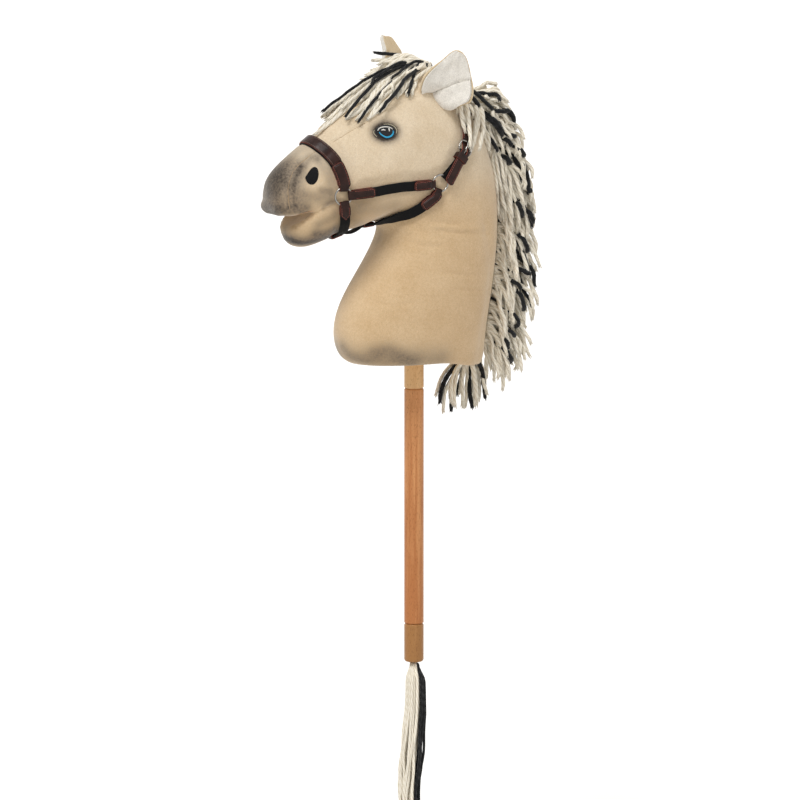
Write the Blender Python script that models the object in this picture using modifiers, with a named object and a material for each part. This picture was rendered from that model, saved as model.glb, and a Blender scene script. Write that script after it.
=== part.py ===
"""A hobby horse: a stuffed plush horse's head with a halter and a yarn mane, on a turned beech stick.

Metres, +Z up. The origin is on the stick's axis, at the bottom of the neck. The horse looks along -Y,
its left side is +X, and the plane X = 0 divides it in two.
"""
import math

import bmesh
import bpy
import numpy as np
from mathutils import Vector
from mathutils.bvhtree import BVHTree

# Gaps between pieces that touch, and under what lies on the plush
GAP = 0.0003
FOLD_GAP = 0.0006
LIFT = 0.0006

# Stick
STICK_DIAMETER = 0.028
SEAM_CHAMFER = 0.0015
DOWEL_SHOWING = 0.042
DOWEL_IN_HEAD = 0.240
MAIN_STICK_LENGTH = 0.3415
END_CAP_LENGTH = 0.0555
END_CAP_ROUNDING = 0.004
TENON_DIAMETER = 0.014
TENON_LENGTH = 0.020
STUD_DIAMETER = 0.008
STUD_IN_DOWEL = 0.030
STUD_IN_STICK = 0.018
INSERT_DIAMETER = 0.012
INSERT_LENGTH = 0.022
CAP_STEPS = 5
ROUND_STEPS = 24
SMALL_STEPS = 12
MERGE = 0.00001

# Tail
TAIL_LENGTH = 0.300
TAIL_DIAMETER = 0.024
BLACK_TAIL_DIAMETER = 0.010
TAIL_DRIFT = 0.010
TAIL_STRAIGHT_SHARE = 0.25
TAIL_TOP_ANGLE = 0.15
TAIL_TOP_ROWS = 4
TAIL_SHARES = (0.12, 1.0, 10)
TAIL_BULGE = 0.18
BLACK_TAIL_SIDE = 52.0
BLACK_TAIL_STEPS = 8
TAIL_ROOT_DIAMETER = 0.013
TAIL_ROOT_LENGTH = 0.022

# Plush skin and what lies under it
PLUSH_THICKNESS = 0.002
BASE_RIM = 0.0022
STUFFING_GAP = 0.0009
LINING_THICKNESS = 0.001

# The head's sections from the neck's bottom to the corner of the mouth, each in a plane through X:
# the underside's Y and Z, the upper side's Y and Z, half the width, and how much wider it is on top
NECK_SECTIONS = (
    ((-0.088, 0.000), (0.098, 0.000), 0.056, 0.00),
    ((-0.113, 0.005), (0.104, 0.005), 0.065, 0.00),
    ((-0.126, 0.038), (0.107, 0.038), 0.068, 0.00),
    ((-0.117, 0.083), (0.114, 0.078), 0.068, 0.00),
    ((-0.078, 0.135), (0.121, 0.124), 0.065, 0.00),
    ((-0.052, 0.177), (0.127, 0.185), 0.062, 0.00),
    ((-0.050, 0.195), (0.126, 0.255), 0.062, 0.00),
    ((-0.060, 0.203), (0.106, 0.322), 0.063, 0.00),
    ((-0.074, 0.203), (0.066, 0.386), 0.063, -0.05),
    ((-0.090, 0.200), (0.006, 0.418), 0.062, -0.12),
    ((-0.108, 0.196), (-0.052, 0.402), 0.058, -0.12),
    ((-0.127, 0.190), (-0.097, 0.378), 0.051, -0.10),
    ((-0.146, 0.184), (-0.137, 0.346), 0.045, -0.08),
    ((-0.166, 0.177), (-0.168, 0.323), 0.042, -0.05),
)
# The upper muzzle: the lip's Y and Z, the top's Y and Z, half the width, and the palate's rise
MUZZLE_SECTIONS = (
    ((-0.193, 0.226), (-0.195, 0.306), 0.041, 0.006),
    ((-0.215, 0.2215), (-0.219, 0.287), 0.037, 0.004),
    ((-0.232, 0.2285), (-0.237, 0.268), 0.023, 0.001),
)
# The lower jaw: its upper edge's Y and Z, its underside's Y and Z, half the width, and the floor's dip
JAW_SECTIONS = (
    ((-0.188, 0.214), (-0.185, 0.173), 0.034, 0.004),
    ((-0.207, 0.203), (-0.206, 0.181), 0.022, 0.001),
)
MOUTH_CORNER = (-0.172, 0.231)
MOUTH_DEPTH = (-0.166, 0.231)
SECTION_FULLNESS = 1.15
CAGE_SWELL = 1.035

# Eyes, nostrils and ears, by a point near each one on the horse's left side
EYE_PLACE = (0.052, -0.075, 0.341)
EYE_WIDTH = 0.027
EYE_HEIGHT = 0.021
EYE_THICKNESS = 0.0012
NOSTRIL_PLACE = (0.030, -0.181, 0.282)
NOSTRIL_WIDTH = 0.018
NOSTRIL_HEIGHT = 0.026
NOSTRIL_THICKNESS = 0.001
NOSTRIL_POINT = 0.25
PATCH_POINTS = 14
EAR_CORNERS = ((0.027, -0.008, 0.390), (0.054, 0.019, 0.366))
EAR_TIP = (0.074, 0.038, 0.450)
# How far the right ear's inner corner, outer corner and tip are shifted from the left one's
RIGHT_EAR_SHIFTS = ((0.0, -0.012, 0.0), (0.0, 0.004, 0.0), (0.0, -0.040, 0.010))
EAR_WIDTH = 0.062
EAR_LEAN = 0.009
EAR_CUP = 0.013
EAR_CUP_BEGINS = 0.25
EAR_BELLY_BEND = 0.85
EAR_SEWN_SHARE = 0.33
EAR_BACK_THICKNESS = 0.0035
EAR_LINING_THICKNESS = 0.002
EAR_LINING_GAP = 0.0009
EAR_LINING_SHARE = 0.93
EAR_BASE_SHARE = 0.35
EAR_TIP_HALF_WIDTH = 0.002
EAR_LIFT = 0.0017
EAR_ROWS = 8
EAR_COLUMNS = 7

# Mane and forelock
TAPE_WIDTH = 0.022
TAPE_THICKNESS = 0.0016
TAPE_LIFT = 0.0010
# Where the mane stands, from the poll down: Y, Z, its height off the crest and half its width
MANE_STATIONS = (
    (0.076, 0.378, 0.036, 0.026),
    (0.098, 0.342, 0.064, 0.032),
    (0.116, 0.300, 0.059, 0.032),
    (0.126, 0.255, 0.060, 0.030),
    (0.127, 0.205, 0.060, 0.030),
    (0.123, 0.150, 0.062, 0.030),
    (0.117, 0.100, 0.067, 0.030),
    (0.109, 0.055, 0.066, 0.028),
    (0.104, 0.022, 0.060, 0.028),
)
# The tuft below the neck: the Y and Z of its front, its depth and half its width
MANE_TUFT = ((0.093, -0.006, 0.068, 0.024), (0.070, -0.034, 0.077, 0.022), (0.043, -0.063, 0.090, 0.020))
MANE_SPACING = 0.016
MANE_GAP = 0.0006
BLACK_MANE_WIDTH = 0.010
# Heights over the crest, as shares of the mane's height: the widest part's ends, the shoulder and the top
MANE_LOW = 0.24
MANE_HIGH = 0.55
MANE_SHOULDER = 0.92
MANE_TOP = 0.98
# The forelock from the poll forward: X, Y, Z near the skin, half its width and the white yarn's thickness
FORELOCK_STATIONS = (
    (0.0, 0.018, 0.424, 0.012, 0.018),
    (0.0, -0.015, 0.420, 0.018, 0.018),
    (0.0, -0.050, 0.405, 0.027, 0.009),
    (0.0, -0.090, 0.388, 0.038, 0.005),
    (0.0, -0.128, 0.360, 0.030, 0.0035),
)
FORELOCK_SPACING = 0.015
WHITE_FORELOCK_COLUMNS = 7
BLACK_FORELOCK_COLUMNS = 3
FORELOCK_DROOP = 0.4
FORELOCK_LIFT = 0.0018
BLACK_FORELOCK_SHARE = 0.34
BLACK_FORELOCK_THICKNESS = 0.003

# Halter: webbing, leather and metal
WEBBING_THICKNESS = 0.0026
WEBBING_WIDTH = 0.015
NOSEBAND_WIDTH = 0.018
NOSEBAND_LEATHER_WIDTH = 0.0164
CHEEK_WIDTH = 0.014
LEATHER_THICKNESS = 0.0015
RING_WIRE = 0.0028
RING_STEPS = 20
FRONT_RING_RADIUS = 0.0122
REAR_RING_RADIUS = 0.012
FRONT_RING_PLACE = (0.046, -0.139, 0.248)
REAR_RING_PLACE = (0.066, 0.007, 0.260)
# Lengths of the leather tabs from their ring's middle, and their width where they fold round it
CHEEK_FRONT_TAB = 0.047
CHEEK_REAR_TAB = 0.041
NOSEBAND_TAB = 0.048
CHIN_TAB = 0.034
THROAT_TAB = 0.043
CROWN_TAB = 0.036
TAB_ROUNDING = 0.004
FRONT_TAB_NECK = 0.0108
REAR_TAB_NECK = 0.009
TAB_COLUMNS = 3
FOLD_STEPS = 4
NOSEBAND_TOP = (0.0, -0.160, 0.325)
NOSEBAND_SIDES = ((0.045, -0.136, 0.274), (0.037, -0.144, 0.298))
CHEEK_MIDDLE = (0.062, -0.063, 0.2595)
CHIN_SIDE = (0.028, -0.131, 0.204)
CHIN_UNDER = (0.0, -0.128, 0.189)
THROAT_SIDES = ((0.066, 0.001, 0.2455), (0.063, -0.014, 0.236), (0.056, -0.032, 0.2225), (0.041, -0.057, 0.206))
THROAT_UNDER = (0.0, -0.077, 0.199)
CROWN_SIDES = ((0.067, 0.050, 0.306), (0.062, 0.061, 0.335), (0.050, 0.061, 0.372), (0.030, 0.051, 0.396))
CROWN_TOP = (0.0, 0.044, 0.407)
CROWN_WIDTH = 0.015
WEBBING_START = 0.003

# Buckle, its tongue and slots, the keeper and the strap's free end
BUCKLE_FROM_RING = 0.064
BUCKLE_LENGTH = 0.016
BUCKLE_WIDTH = 0.0226
BUCKLE_WIRE = 0.0024
TONGUE_WIRE = 0.002
TONGUE_TURN = 265.0
TONGUE_STEPS = 12
TONGUE_PAST_BAR = 0.0015
TONGUE_SLOT = 0.0044
TONGUE_SLOT_BEFORE = 0.0045
TONGUE_SLOT_AFTER = 0.011
KEEPER_BEFORE_BUCKLE = 0.010
KEEPER_LENGTH = 0.009
KEEPER_THICKNESS = 0.0012
BUCKLE_CLEAR = 0.006
BUCKLE_SLOPE = 0.030
SINK_BEFORE_BUCKLE = 0.018
SINK_AT_BUCKLE = 0.002
BILLET_END_FROM_RING = 0.006
BILLET_SIDE_DRIFT = 0.009
BILLET_STAND_OFF = 0.005
JAW_STRAP_SAG = 0.004
JAW_STRAP_WIDTH = 0.013
JAW_STRAP_ROWS = 8
LOOP_LENGTH = 0.012
LOOP_BEVEL = 0.0012

# Colours, sRGB
CREAM = "E0CDAE"
WHITE_FLEECE = "F1ECE2"
PALE_PANEL = "CDB891"
MOUTH_PEACH = "C89A74"
FIBRE_WHITE = "EDEBE6"
EYE_BLACK = "101318"
FELT_BLACK = "17171A"
YARN_WHITE = "D9D5CB"
YARN_BLACK = "15161A"
TAPE_BEIGE = "B9A88C"
WEBBING_BLACK = "16161A"
LEATHER_BROWN = "3A211D"
STEEL = "C9CBCC"
PALE_BEECH = "C79C6A"
RED_BEECH = "B57A4E"
CAP_BEECH = "A67A52"
BRASS = "B08D4A"

RING_POINTS = 12
QUARTER = RING_POINTS // 4
HALF = RING_POINTS // 2


def clear_scene():
    for item in list(bpy.data.objects):
        bpy.data.objects.remove(item, do_unlink=True)


def new_collection(name):
    collection = bpy.data.collections.new(name)
    bpy.context.scene.collection.children.link(collection)
    return collection


def linear(channel):
    return channel / 12.92 if channel <= 0.04045 else ((channel + 0.055) / 1.055) ** 2.4


def material(name, colour, roughness, metallic=0.0):
    made = bpy.data.materials.new(name)
    made.use_nodes = True
    shader = made.node_tree.nodes["Principled BSDF"]
    rgb = [linear(int(colour[i:i + 2], 16) / 255) for i in (0, 2, 4)]
    shader.inputs["Base Color"].default_value = (*rgb, 1.0)
    shader.inputs["Roughness"].default_value = roughness
    shader.inputs["Metallic"].default_value = metallic
    made.diffuse_color = (*rgb, 1.0)
    return made


clear_scene()
PARTS = new_collection("hobby_horse")
CUTTERS = new_collection("cutters")


def place(name, mesh, finish):
    """The mesh as a part of its own, with its finish."""
    item = bpy.data.objects.new(name, mesh)
    mesh.materials.clear()
    mesh.materials.append(finish)
    PARTS.objects.link(item)
    return item


def mesh_from(name, points, faces):
    mesh = bpy.data.meshes.new(name)
    mesh.from_pydata([tuple(map(float, p)) for p in points], [], faces)
    mesh.update()
    return mesh


def face_outward(mesh):
    body = bmesh.new()
    body.from_mesh(mesh)
    bmesh.ops.recalc_face_normals(body, faces=body.faces)
    body.to_mesh(mesh)
    body.free()


def evaluated(item):
    graph = bpy.context.evaluated_depsgraph_get()
    return bpy.data.meshes.new_from_object(item.evaluated_get(graph))


def solidify(item, thickness, offset):
    wall = item.modifiers.new("wall", "SOLIDIFY")
    wall.thickness = thickness
    wall.offset = offset
    return wall


def turned(name, profile, finish, steps=ROUND_STEPS):
    """A profile of (radius, height) points, from the top down, turned about the Z axis."""
    mesh = bpy.data.meshes.new(name)
    edges = [(i, i + 1) for i in range(len(profile) - 1)]
    mesh.from_pydata([(r, 0.0, z) for r, z in profile], edges, [])
    item = place(name, mesh, finish)
    screw = item.modifiers.new("turn", "SCREW")
    screw.steps = steps
    screw.render_steps = steps
    screw.use_merge_vertices = True
    screw.merge_threshold = MERGE
    screw.use_smooth_shade = True
    return item


def wire(name, points, diameter, finish, closed=False):
    """A round wire through the points."""
    curve = bpy.data.curves.new(name, "CURVE")
    curve.dimensions = "3D"
    spline = curve.splines.new("POLY")
    spline.points.add(len(points) - 1)
    for target, point in zip(spline.points, points):
        target.co = (*map(float, point), 1.0)
    spline.use_cyclic_u = closed
    curve.bevel_depth = diameter / 2
    curve.bevel_resolution = 2
    curve.use_fill_caps = True
    item = bpy.data.objects.new(name, curve)
    curve.materials.append(finish)
    PARTS.objects.link(item)
    return item


def loft(name, rings, finish):
    """A closed skin through rings of as many points each, with flat ends."""
    count = len(rings[0])
    points = [p for ring in rings for p in ring]
    faces = []
    for row in range(len(rings) - 1):
        for i in range(count):
            a = row * count + i
            b = row * count + (i + 1) % count
            faces.append((a, b, b + count, a + count))
    faces.append(tuple(range(count))[::-1])
    faces.append(tuple(range((len(rings) - 1) * count, len(rings) * count)))
    mesh = mesh_from(name, points, faces)
    face_outward(mesh)
    return place(name, mesh, finish)


def grid(name, rows, finish, thickness, mirrored=False, closed=False, holes=()):
    """A sheet through rows of points, given a wall; holes are (row, column) faces left out."""
    points = np.array(rows, float)
    if mirrored:
        points = points * (-1.0, 1.0, 1.0)
    count, width = points.shape[:2]
    faces = []
    for i in range(count if closed else count - 1):
        for j in range(width - 1):
            if (i, j) in holes:
                continue
            a = i * width + j
            b = (i + 1) % count * width + j
            face = (a, b, b + 1, a + 1)
            faces.append(face[::-1] if mirrored else face)
    mesh = mesh_from(name, points.reshape(-1, 3), faces)
    item = place(name, mesh, finish)
    solidify(item, thickness, 0.0)
    return item


def smooth_path(points, spacing):
    """Points every spacing or so along a Catmull-Rom curve through the given ones, whose place comes first."""
    p = np.array(points, float)
    p = np.vstack([2 * p[0] - p[1], p, 2 * p[-1] - p[-2]])
    out = []
    for i in range(1, len(p) - 2):
        steps = max(2, round(np.linalg.norm((p[i + 1] - p[i])[:3]) / spacing))
        t = np.linspace(0, 1, steps, endpoint=False)[:, None]
        a, b, c, d = p[i - 1:i + 3]
        out.append(0.5 * (2 * b + (c - a) * t + (2 * a - 5 * b + 4 * c - d) * t ** 2
                          + (3 * b - a - 3 * c + d) * t ** 3))
    return np.vstack(out + [p[-2:-1]])


def hinged(name, spot, axis, items):
    """An empty on a hinge, with its X axis along the hinge's, carrying the pieces that turn on it."""
    pivot = bpy.data.objects.new(name, None)
    pivot.rotation_mode = "QUATERNION"
    pivot.rotation_quaternion = Vector((1.0, 0.0, 0.0)).rotation_difference(Vector(tuple(map(float, axis))))
    pivot.location = tuple(map(float, spot))
    PARTS.objects.link(pivot)
    for item in items:
        item.parent = pivot
        item.matrix_parent_inverse = pivot.matrix_basis.inverted()


def unit(v):
    v = np.asarray(v, float)
    return v / np.linalg.norm(v, axis=-1, keepdims=True)


# Head


def section_ring(under, over, half_width, top_share):
    """Twelve points round one section: 0 on top, 3 on the horse's left, 6 below, 9 on its right."""
    under, over = np.array(under), np.array(over)
    centre, reach = (under + over) / 2, (over - under) / 2 * CAGE_SWELL
    ring = []
    for k in range(RING_POINTS):
        angle = 2 * math.pi * k / RING_POINTS
        up = math.copysign(abs(math.cos(angle)) ** (1 / SECTION_FULLNESS), math.cos(angle))
        side = math.copysign(abs(math.sin(angle)) ** (1 / SECTION_FULLNESS), math.sin(angle))
        y, z = centre + reach * up
        ring.append((half_width * CAGE_SWELL * side * (1 + top_share * up), y, z))
    return ring


def lip_ring(edge, far, half_width, bulge):
    """A muzzle or jaw section: seven points over the outside and five over the mouth's side."""
    edge, far = np.array(edge), np.array(far)
    ring = []
    for k in range(HALF + 1):
        angle = math.pi * k / HALF
        y, z = edge + (far - edge) * math.sin(angle) * CAGE_SWELL
        ring.append((-half_width * CAGE_SWELL * math.cos(angle), y, z))
    inward = unit(far - edge) * bulge
    for k in range(1, HALF):
        angle = math.pi * k / HALF
        y, z = edge + inward * math.sin(angle)
        ring.append((half_width * CAGE_SWELL * math.cos(angle), y, z))
    return ring


def head_cage():
    """The head's coarse cage: full rings up to the mouth's corner, then the muzzle and the jaw."""
    points = [p for section in NECK_SECTIONS for p in section_ring(*section)]
    corner = (len(NECK_SECTIONS) - 1) * RING_POINTS
    width = points[corner + QUARTER][0]
    for k, sign in ((QUARTER, 1), (3 * QUARTER, -1)):
        points[corner + k] = (sign * width, *MOUTH_CORNER)
    faces = []
    for row in range(len(NECK_SECTIONS) - 1):
        for k in range(RING_POINTS):
            a = row * RING_POINTS + k
            b = row * RING_POINTS + (k + 1) % RING_POINTS
            faces.append((a, b, b + RING_POINTS, a + RING_POINTS))
    back_row = len(points)
    for k in range(1, HALF):
        points.append((width * math.cos(math.pi * k / HALF), *MOUTH_DEPTH))
    back = list(range(back_row, back_row + HALF - 1))
    over = [corner + k for k in (9, 10, 11, 0, 1, 2, 3)] + back
    below = [corner + k for k in (9, 8, 7, 6, 5, 4, 3)] + back
    mouth = set()
    for sections, first in ((MUZZLE_SECTIONS, over), (JAW_SECTIONS, below)):
        last = first
        for edge, far, half_width, bulge in sections:
            start = len(points)
            points.extend(lip_ring(edge, far, half_width, bulge))
            ring = list(range(start, start + RING_POINTS))
            for k in range(RING_POINTS):
                following = (k + 1) % RING_POINTS
                if k >= HALF:
                    mouth.add(len(faces))
                faces.append((last[k], last[following], ring[following], ring[k]))
            last = ring
        faces.append(tuple(last))
    mesh = mesh_from("head_cage", points, faces)
    for index in mouth:
        mesh.polygons[index].material_index = 1
    body = bmesh.new()
    body.from_mesh(mesh)
    bmesh.ops.recalc_face_normals(body, faces=body.faces)
    highest = max(body.faces, key=lambda face: face.calc_center_median().z)
    if highest.normal.z < 0:
        bmesh.ops.reverse_faces(body, faces=body.faces)
    body.to_mesh(mesh)
    body.free()
    return mesh


def smoothed(mesh, name):
    """The cage after one subdivision, as a mesh."""
    guide = bpy.data.objects.new(name, mesh)
    bpy.context.scene.collection.objects.link(guide)
    rounding = guide.modifiers.new("rounding", "SUBSURF")
    rounding.levels = 1
    rounding.render_levels = 1
    made = evaluated(guide)
    bpy.data.objects.remove(guide)
    return made


PLUSH = material("cream_plush", CREAM, 0.95)
SKIN = smoothed(head_cage(), "head_guide")
SKIN_POINTS = np.array([v.co[:] for v in SKIN.vertices])
SKIN_NORMALS = np.array([v.normal[:] for v in SKIN.vertices])
SKIN_TREE = BVHTree.FromPolygons([v.co[:] for v in SKIN.vertices], [p.vertices[:] for p in SKIN.polygons])


def on_skin(point):
    """The skin's nearest point and its smoothed normal there."""
    spot, _, face, _ = SKIN_TREE.find_nearest(Vector(tuple(map(float, point))))
    spot = np.array(spot)
    corners = list(SKIN.polygons[face].vertices)
    weights = 1 / (np.linalg.norm(SKIN_POINTS[corners] - spot, axis=1) + 1e-5)
    return spot, unit((SKIN_NORMALS[corners] * weights[:, None]).sum(0))


def rim_of_skin():
    """The indices of the skin's bottom edge, in order."""
    body = bmesh.new()
    body.from_mesh(SKIN)
    edges = [e for e in body.edges if e.is_boundary]
    following = {}
    for edge in edges:
        for a, b in (edge.verts, reversed(edge.verts)):
            following.setdefault(a.index, []).append(b.index)
    order = [edges[0].verts[0].index]
    while len(order) < len(edges):
        ahead = [i for i in following[order[-1]] if i not in order]
        order.append(ahead[0])
    body.free()
    return order


def make_head():
    cover_mesh = SKIN.copy()
    cover = place("head_cover", cover_mesh, PLUSH)
    for polygon in cover_mesh.polygons:
        polygon.material_index = 0
    solidify(cover, PLUSH_THICKNESS, -1.0)
    cover_mesh.shade_smooth()

    rim = rim_of_skin()
    depth = PLUSH_THICKNESS + STUFFING_GAP
    inner = SKIN_POINTS - SKIN_NORMALS * depth
    middle = SKIN_POINTS[rim].mean(0)
    stuffing_base = PLUSH_THICKNESS + GAP
    for index in rim:
        inner[index] = SKIN_POINTS[index] + unit(middle - SKIN_POINTS[index]) * (depth + BASE_RIM)
        inner[index][2] = stuffing_base
    faces = [tuple(p.vertices) for p in SKIN.polygons] + [tuple(rim)]
    mesh = mesh_from("stuffing", inner, faces)
    face_outward(mesh)
    stuffing = place("stuffing", mesh, material("polyester_fibre", FIBRE_WHITE, 1.0))
    bore = (STICK_DIAMETER / 2 + GAP, -SEAM_CHAMFER, DOWEL_IN_HEAD + GAP)
    cut_round(stuffing, "dowel_bore", *bore)

    outline = [SKIN_POINTS[i] + unit(middle - SKIN_POINTS[i]) * (BASE_RIM + GAP) for i in rim]
    hole = [(math.cos(a), math.sin(a)) for a in np.linspace(0, 2 * math.pi, ROUND_STEPS, endpoint=False)]
    radius = STICK_DIAMETER / 2 + GAP
    curve = bpy.data.curves.new("base_panel", "CURVE")
    curve.dimensions = "2D"
    curve.fill_mode = "BOTH"
    curve.extrude = PLUSH_THICKNESS / 2
    for points in (outline, [(radius * x, radius * y) for x, y in hole]):
        spline = curve.splines.new("POLY")
        spline.points.add(len(points) - 1)
        for target, point in zip(spline.points, points):
            target.co = (float(point[0]), float(point[1]), 0.0, 1.0)
        spline.use_cyclic_u = True
    panel = bpy.data.objects.new("base_panel", curve)
    curve.materials.append(material("base_plush", PALE_PANEL, 0.95))
    PARTS.objects.link(panel)
    panel.location.z = PLUSH_THICKNESS / 2


def cut_round(item, name, radius, bottom, top):
    bpy.ops.mesh.primitive_cylinder_add(vertices=ROUND_STEPS, radius=radius, depth=top - bottom,
                                        location=(0, 0, (top + bottom) / 2))
    cutter = bpy.context.object
    cutter.name = name
    for collection in list(cutter.users_collection):
        collection.objects.unlink(cutter)
    CUTTERS.objects.link(cutter)
    cutter.hide_render = True
    cutter.display_type = "WIRE"
    cut = item.modifiers.new(name, "BOOLEAN")
    cut.operation = "DIFFERENCE"
    cut.solver = "EXACT"
    cut.object = cutter


def make_mouth_lining():
    """The mouth's inner cloth, a sheet laid over the palate and the floor."""
    lips = {i for p in SKIN.polygons if p.material_index == 0 for i in p.vertices}
    chosen = [p for p in SKIN.polygons if p.material_index == 1 and not lips & set(p.vertices)]
    used = sorted({i for p in chosen for i in p.vertices})
    place_of = {old: new for new, old in enumerate(used)}
    lift = GAP + LINING_THICKNESS / 2 + LIFT
    points = SKIN_POINTS[used] + SKIN_NORMALS[used] * lift
    mesh = mesh_from("mouth_lining", points, [[place_of[i] for i in p.vertices] for p in chosen])
    lining = place("mouth_lining", mesh, material("mouth_cloth", MOUTH_PEACH, 0.95))
    solidify(lining, LINING_THICKNESS, 0.0)


def patch(name, middle, width, height, thickness, finish, point_share=0.0):
    """A thin round patch lying on the skin, pointed towards the nose by point_share."""
    spot, normal = on_skin(middle)
    across = unit(np.cross((0.0, 0.0, 1.0), normal))
    up = unit(np.cross(normal, across))
    targets = [spot]
    for share in (0.5, 1.0):
        for angle in np.linspace(0, 2 * math.pi, PATCH_POINTS, endpoint=False):
            z = math.sin(angle) * share
            y = math.cos(angle) * share * (1 - point_share * z)
            targets.append(spot + across * y * width / 2 + up * z * height / 2)
    points = [low + outward * (LIFT + thickness / 2) for low, outward in map(on_skin, targets)]
    faces = []
    for k in range(PATCH_POINTS):
        a, b = 1 + k, 1 + (k + 1) % PATCH_POINTS
        faces += [(0, a, b), (a, a + PATCH_POINTS, b + PATCH_POINTS, b)]
    for side, sign in (("left", 1), ("right", -1)):
        mesh = mesh_from(f"{name}_{side}", [p * (sign, 1.0, 1.0) for p in points], [f[::sign] for f in faces])
        solidify(place(f"{name}_{side}", mesh, finish), thickness, 0.0)


def sheet_normals(rows):
    """The normal at each point of a grid, from its neighbours along and across."""
    points = np.array(rows, float)
    return unit(np.cross(np.gradient(points, axis=1), np.gradient(points, axis=0)))


def make_ears():
    back = material("ear_plush", CREAM, 0.95)
    fleece = material("ear_fleece", WHITE_FLEECE, 0.95)
    for side, sign, shifts in (("left", 1.0, np.zeros((3, 3))), ("right", -1.0, np.array(RIGHT_EAR_SHIFTS))):
        inner, outer, tip = np.array((*EAR_CORNERS, EAR_TIP)) + shifts
        middle = (inner + outer) / 2
        span = outer - inner
        along = unit(tip - middle)
        across = unit(span - along * np.dot(span, along))
        facing = np.cross(across, along)
        height = np.linalg.norm(tip - middle)
        base_half = np.linalg.norm(span) / 2
        seats = [on_skin(inner + span * t) for t in np.linspace(0, 1, EAR_COLUMNS)]
        sheet = []
        for u in np.linspace(0, 1, EAR_ROWS):
            arch = math.sin(math.pi * u ** EAR_BELLY_BEND)
            half = max(base_half * (1 - u) + (EAR_WIDTH / 2 - EAR_BASE_SHARE * base_half) * arch,
                       EAR_TIP_HALF_WIDTH)
            cup = EAR_CUP * math.sin(math.pi * min(u + EAR_CUP_BEGINS, 1.0))
            seated = max(0.0, 1 - u / EAR_SEWN_SHARE)
            line = []
            for (spot, normal), v in zip(seats, np.linspace(-1, 1, EAR_COLUMNS)):
                free = middle + along * height * u + across * (half * v + EAR_LEAN * arch) + facing * cup * v * v
                line.append((spot + normal * EAR_LIFT) * seated + free * (1 - seated))
            sheet.append(line)
        offset = (EAR_BACK_THICKNESS + EAR_LINING_THICKNESS) / 2 + EAR_LINING_GAP
        inside = np.array(sheet) + sheet_normals(sheet) * offset
        centre = inside.mean(1, keepdims=True)
        inside = centre + (inside - centre) * EAR_LINING_SHARE
        flip = (sign, 1.0, 1.0)
        grid(f"ear_{side}", np.array(sheet) * flip, back, EAR_BACK_THICKNESS)
        grid(f"ear_lining_{side}", inside[1:-1] * flip, fleece, EAR_LINING_THICKNESS)


# Mane and forelock


def make_mane():
    crest = [on_skin((0.0, y, z))[0] for y, z, _, _ in MANE_STATIONS]
    outward = [on_skin((0.0, y, z))[1] for y, z, _, _ in MANE_STATIONS]
    heights = [s[2] for s in MANE_STATIONS]
    halves = [s[3] for s in MANE_STATIONS]
    tape_rows = []
    for spot in smooth_path(crest, MANE_SPACING):
        row = []
        for v in (-1.0, 0.0, 1.0):
            side = on_skin(on_skin(spot)[0] + np.array((v * TAPE_WIDTH / 2, 0.0, 0.0)))
            row.append(side[0] + side[1] * (TAPE_LIFT + TAPE_THICKNESS / 2))
        tape_rows.append(row)
    grid("mane_tape", tape_rows, material("woven_tape", TAPE_BEIGE, 0.9), TAPE_THICKNESS)

    table = [(*spot, 0.0, *normal[1:], height, half) for spot, normal, height, half
             in zip(crest, outward, heights, halves)]
    table += [(0.0, y, z, 0.0, 1.0, 0.0, height, half) for y, z, height, half in MANE_TUFT]
    clear = TAPE_LIFT + TAPE_THICKNESS + MANE_GAP
    black = BLACK_MANE_WIDTH / 2
    white_rings = {1: [], -1: []}
    black_rings = []
    for station in smooth_path(table, MANE_SPACING):
        spot, normal, height, half = station[:3], unit(station[3:6]), station[6], station[7]
        on_neck = spot[2] > 0
        if on_neck:
            spot = on_skin(spot)[0] * (0.0, 1.0, 1.0)
        middle = (black + half) / 2
        for sign in (1, -1):
            ring = []
            for x, n in ((black + GAP, clear), (middle, clear),
                         (half, MANE_LOW * height), (half, MANE_HIGH * height),
                         (middle, MANE_SHOULDER * height), (black + GAP, MANE_TOP * height)):
                point = spot + normal * n + np.array((sign * x, 0.0, 0.0))
                if on_neck:
                    low, away = on_skin(point)
                    point = point + away * max(0.0, clear + MANE_GAP - np.dot(point - low, away))
                    point[0] = sign * max(abs(point[0]), black + GAP)
                ring.append(point)
            white_rings[sign].append(ring)
        black_rings.append([spot + normal * n + np.array((x, 0.0, 0.0))
                            for x, n in ((-black, clear), (black, clear), (black, height), (-black, height))])
    white = material("white_yarn", YARN_WHITE, 0.95)
    loft("mane_white_left", white_rings[1], white)
    loft("mane_white_right", white_rings[-1], white)
    loft("mane_black", black_rings, material("black_yarn", YARN_BLACK, 0.95))


def make_forelock():
    """White yarn laid forward over the brow, and black yarn over its middle."""
    stations = smooth_path(FORELOCK_STATIONS, FORELOCK_SPACING)
    for name, share, columns, colour in (
            ("forelock_white", 1.0, WHITE_FORELOCK_COLUMNS, YARN_WHITE),
            ("forelock_black", BLACK_FORELOCK_SHARE, BLACK_FORELOCK_COLUMNS, YARN_BLACK)):
        rings = []
        for station in stations:
            spot, half, white = station[:3], station[3], station[4]
            low, high = FORELOCK_LIFT, FORELOCK_LIFT + white
            if name == "forelock_black":
                low, high = high + FOLD_GAP, high + FOLD_GAP + BLACK_FORELOCK_THICKNESS
            seats = [on_skin(spot + np.array((v * half, 0.0, -v * v * half * FORELOCK_DROOP)))
                     for v in np.linspace(-share, share, columns)]
            rings.append([foot + away * low for foot, away in seats]
                         + [foot + away * high for foot, away in seats[::-1]])
        loft(name, rings, material(f"{name}_yarn", colour, 0.95))


# Halter

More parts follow.
